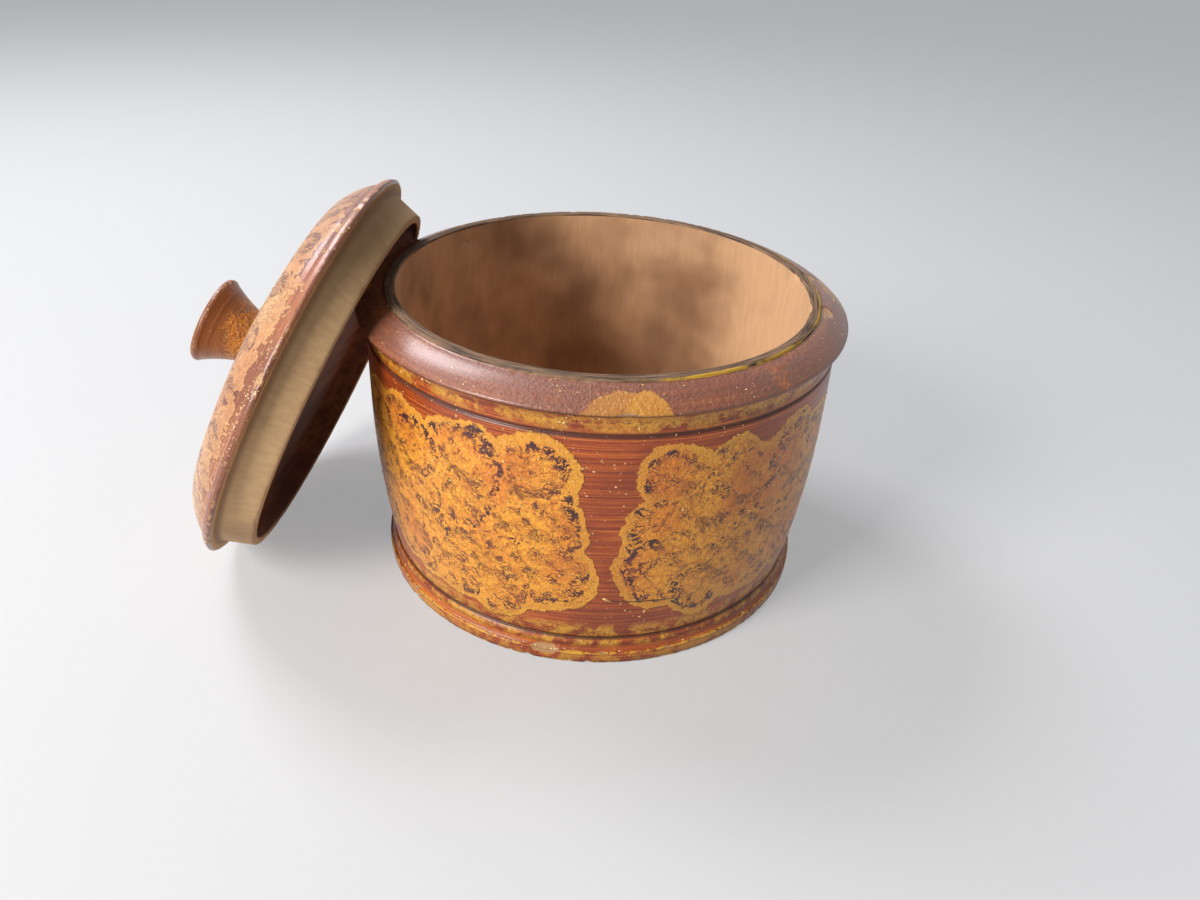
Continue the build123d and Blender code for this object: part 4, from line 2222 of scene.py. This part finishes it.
    def turn_lid(self, place: Matrix) -> bpy.types.Object:
        """Turn the lid, with rings of dabs on its dome.

        Args:
            place: Where it stands.

        Returns:
            The lid.
        """
        rings = (
            DabRing(18.0, 4, 12.0),
            DabRing(36.0, 9, 13.0),
            DabRing(53.0, 13, 13.0),
            DabRing(66.0, 18, 12.0),
            DabRing(76.0, 26, 7.0),
        )
        decor = Decor.of_rings(rings, self.flange - self.ochre_inset, seed=17)
        finishes = self.lid_finishes()
        return Turning(
            "lid_turned_dome", self.lid_section(), finishes, place, decor, chips=self.chips(), seed=7.0
        ).build()

    def turn_knob(self, place: Matrix) -> bpy.types.Object:
        """Turn the knob, with dabs on its face.

        Args:
            place: Where the lid stands.

        Returns:
            The knob.
        """
        rings = (DabRing(0.0, 1, 8.0), DabRing(9.0, 6, 6.0))
        return Turning(
            "knob_turned",
            self.knob_section(),
            {Zone.PAINT: PaintedWood("painted_knob", KNOB_TONES, coat=0.5).sheet()},
            place,
            Decor.of_rings(rings, self.knob_ochre, seed=23),
            sides=self.knob_sides,
            nick_depth=0.4,
            decor_from=self.knob_top - self.knob_face,
            seed=13.0,
        ).build()

    def build(self, crumb: bpy.types.Material) -> List[bpy.types.Object]:
        """Make, dress and seat the lid and its knob.

        Args:
            crumb: The finish of crumbs.

        Returns:
            The finished pieces.
        """
        place = self.placing()
        lid = self.turn_lid(place)
        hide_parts("lid")
        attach(lid, self.body)
        knob = self.turn_knob(place)
        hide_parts("knob")
        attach(knob, self.body)
        scatter = PaintCrumbs("lid_paint_crumbs", thick=340000.0, largest=0.42 * MM, seed=9)
        crumbs = scatter.build(lid, crumb)
        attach(crumbs, self.body)
        return [lid, knob, crumbs]


# The studio


@dataclass(frozen=True)
class Lamp:
    """A soft square lamp: where it hangs, its side in metres, its power in watts and its colour."""

    name: str
    place: Tuple[float, float, float]
    size: float
    power: float
    tone: Colour

    def hang(self, aim: Vector) -> None:
        """Hang the lamp.

        Args:
            aim: The point that it faces.
        """
        light = bpy.data.lights.new(self.name, "AREA")
        light.size = self.size
        light.energy = self.power
        light.color = self.tone
        holder = shown(self.name, light)
        holder.location = self.place
        holder.rotation_euler = (aim - Vector(self.place)).to_track_quat("-Z", "Y").to_euler()


@dataclass
class Studio:
    """The pale floor, the soft lights and the camera."""

    camera_back: float = 356.2 * MM
    camera_up: float = 266.2 * MM
    pitch: float = math.radians(32.26)
    yaw: float = math.radians(0.42)
    roll: float = math.radians(3.42)
    lens: float = 27.0
    sensor: float = 36.0
    nearest: float = 0.01
    floor_reach: float = 6.0
    floor_tone: Colour = (0.62, 0.62, 0.62)
    floor_even: float = 0.4
    sky_light: Colour = (0.78, 0.80, 0.83)
    sky_strength: float = 0.24
    sky_seen: Colour = (0.66, 0.67, 0.69)
    aim: Tuple[float, float, float] = (-0.03, 0.0, 0.06)
    lamps: Tuple[Lamp, ...] = (
        Lamp("window", (-0.85, -0.75, 0.72), 0.50, 19.0, (1.0, 0.98, 0.95)),
        Lamp("sheen", (-0.72, 0.54, 1.12), 0.55, 15.0, (0.93, 0.94, 1.0)),
        Lamp("fill", (0.9, -0.7, 0.6), 1.0, 0.6, (0.95, 0.97, 1.0)),
    )

    def camera(self) -> None:
        """Set the camera where the photograph was taken from."""
        view = Vector((
            math.sin(self.yaw) * math.cos(self.pitch),
            math.cos(self.yaw) * math.cos(self.pitch),
            -math.sin(self.pitch),
        ))
        right = view.cross(Vector((0, 0, 1))).normalized()
        upward = right.cross(view)
        side = right * math.cos(self.roll) + upward * math.sin(self.roll)
        top = upward * math.cos(self.roll) - right * math.sin(self.roll)
        data = bpy.data.cameras.new("camera")
        data.lens = self.lens
        data.sensor_width = self.sensor
        data.clip_start = self.nearest
        holder = shown("camera", data)
        turn = Matrix((side, top, -view)).transposed().to_4x4()
        holder.matrix_world = Matrix.Translation((0.0, -self.camera_back, self.camera_up)) @ turn
        bpy.context.scene.camera = holder

    def ground(self) -> None:
        """Lay the pale floor."""
        reach = self.floor_reach
        corners = [(x * reach, y * reach, 0.0) for x, y in ((-1, -1), (1, -1), (1, 1), (-1, 1))]
        mesh = bpy.data.meshes.new("floor")
        mesh.from_pydata(corners, [], [(0, 1, 2, 3)])
        mesh.materials.append(PlainSurface("pale_floor", self.floor_tone, self.floor_even).sheet())
        shown("floor", mesh)

    def sky(self) -> None:
        """Light the scene evenly with a pale world."""
        sheet = NodeSheet.of_shader(bpy.data.worlds.new("studio"))
        light = sheet.add(
            "ShaderNodeBackground", inputs={"Color": self.sky_light, "Strength": self.sky_strength}
        )
        pale = sheet.add("ShaderNodeBackground", inputs={"Color": self.sky_seen, "Strength": 1.0})
        mixed = sheet.add("ShaderNodeMixShader", inputs={0: sheet.seen(), 1: light, 2: pale})
        sheet.add("ShaderNodeOutputWorld", inputs={"Surface": mixed})
        bpy.context.scene.world = sheet.owner

    def build(self) -> None:
        """Make the studio."""
        self.camera()
        self.ground()
        self.sky()
        for lamp in self.lamps:
            lamp.hang(Vector(self.aim))
        bpy.context.scene.view_settings.view_transform = "Standard"


def main() -> None:
    """Build the canister, its lid and the studio."""
    logging.basicConfig(level=logging.INFO, format="%(name)s %(message)s")
    crumb = CrumbFinish().sheet()
    pieces = [*Canister().build(crumb), *Lid().build(crumb)]
    Studio().build()
    for piece in pieces:
        log.info("%s: %d faces", piece.name, len(piece.data.polygons))


if __name__ == "__main__":
    main()
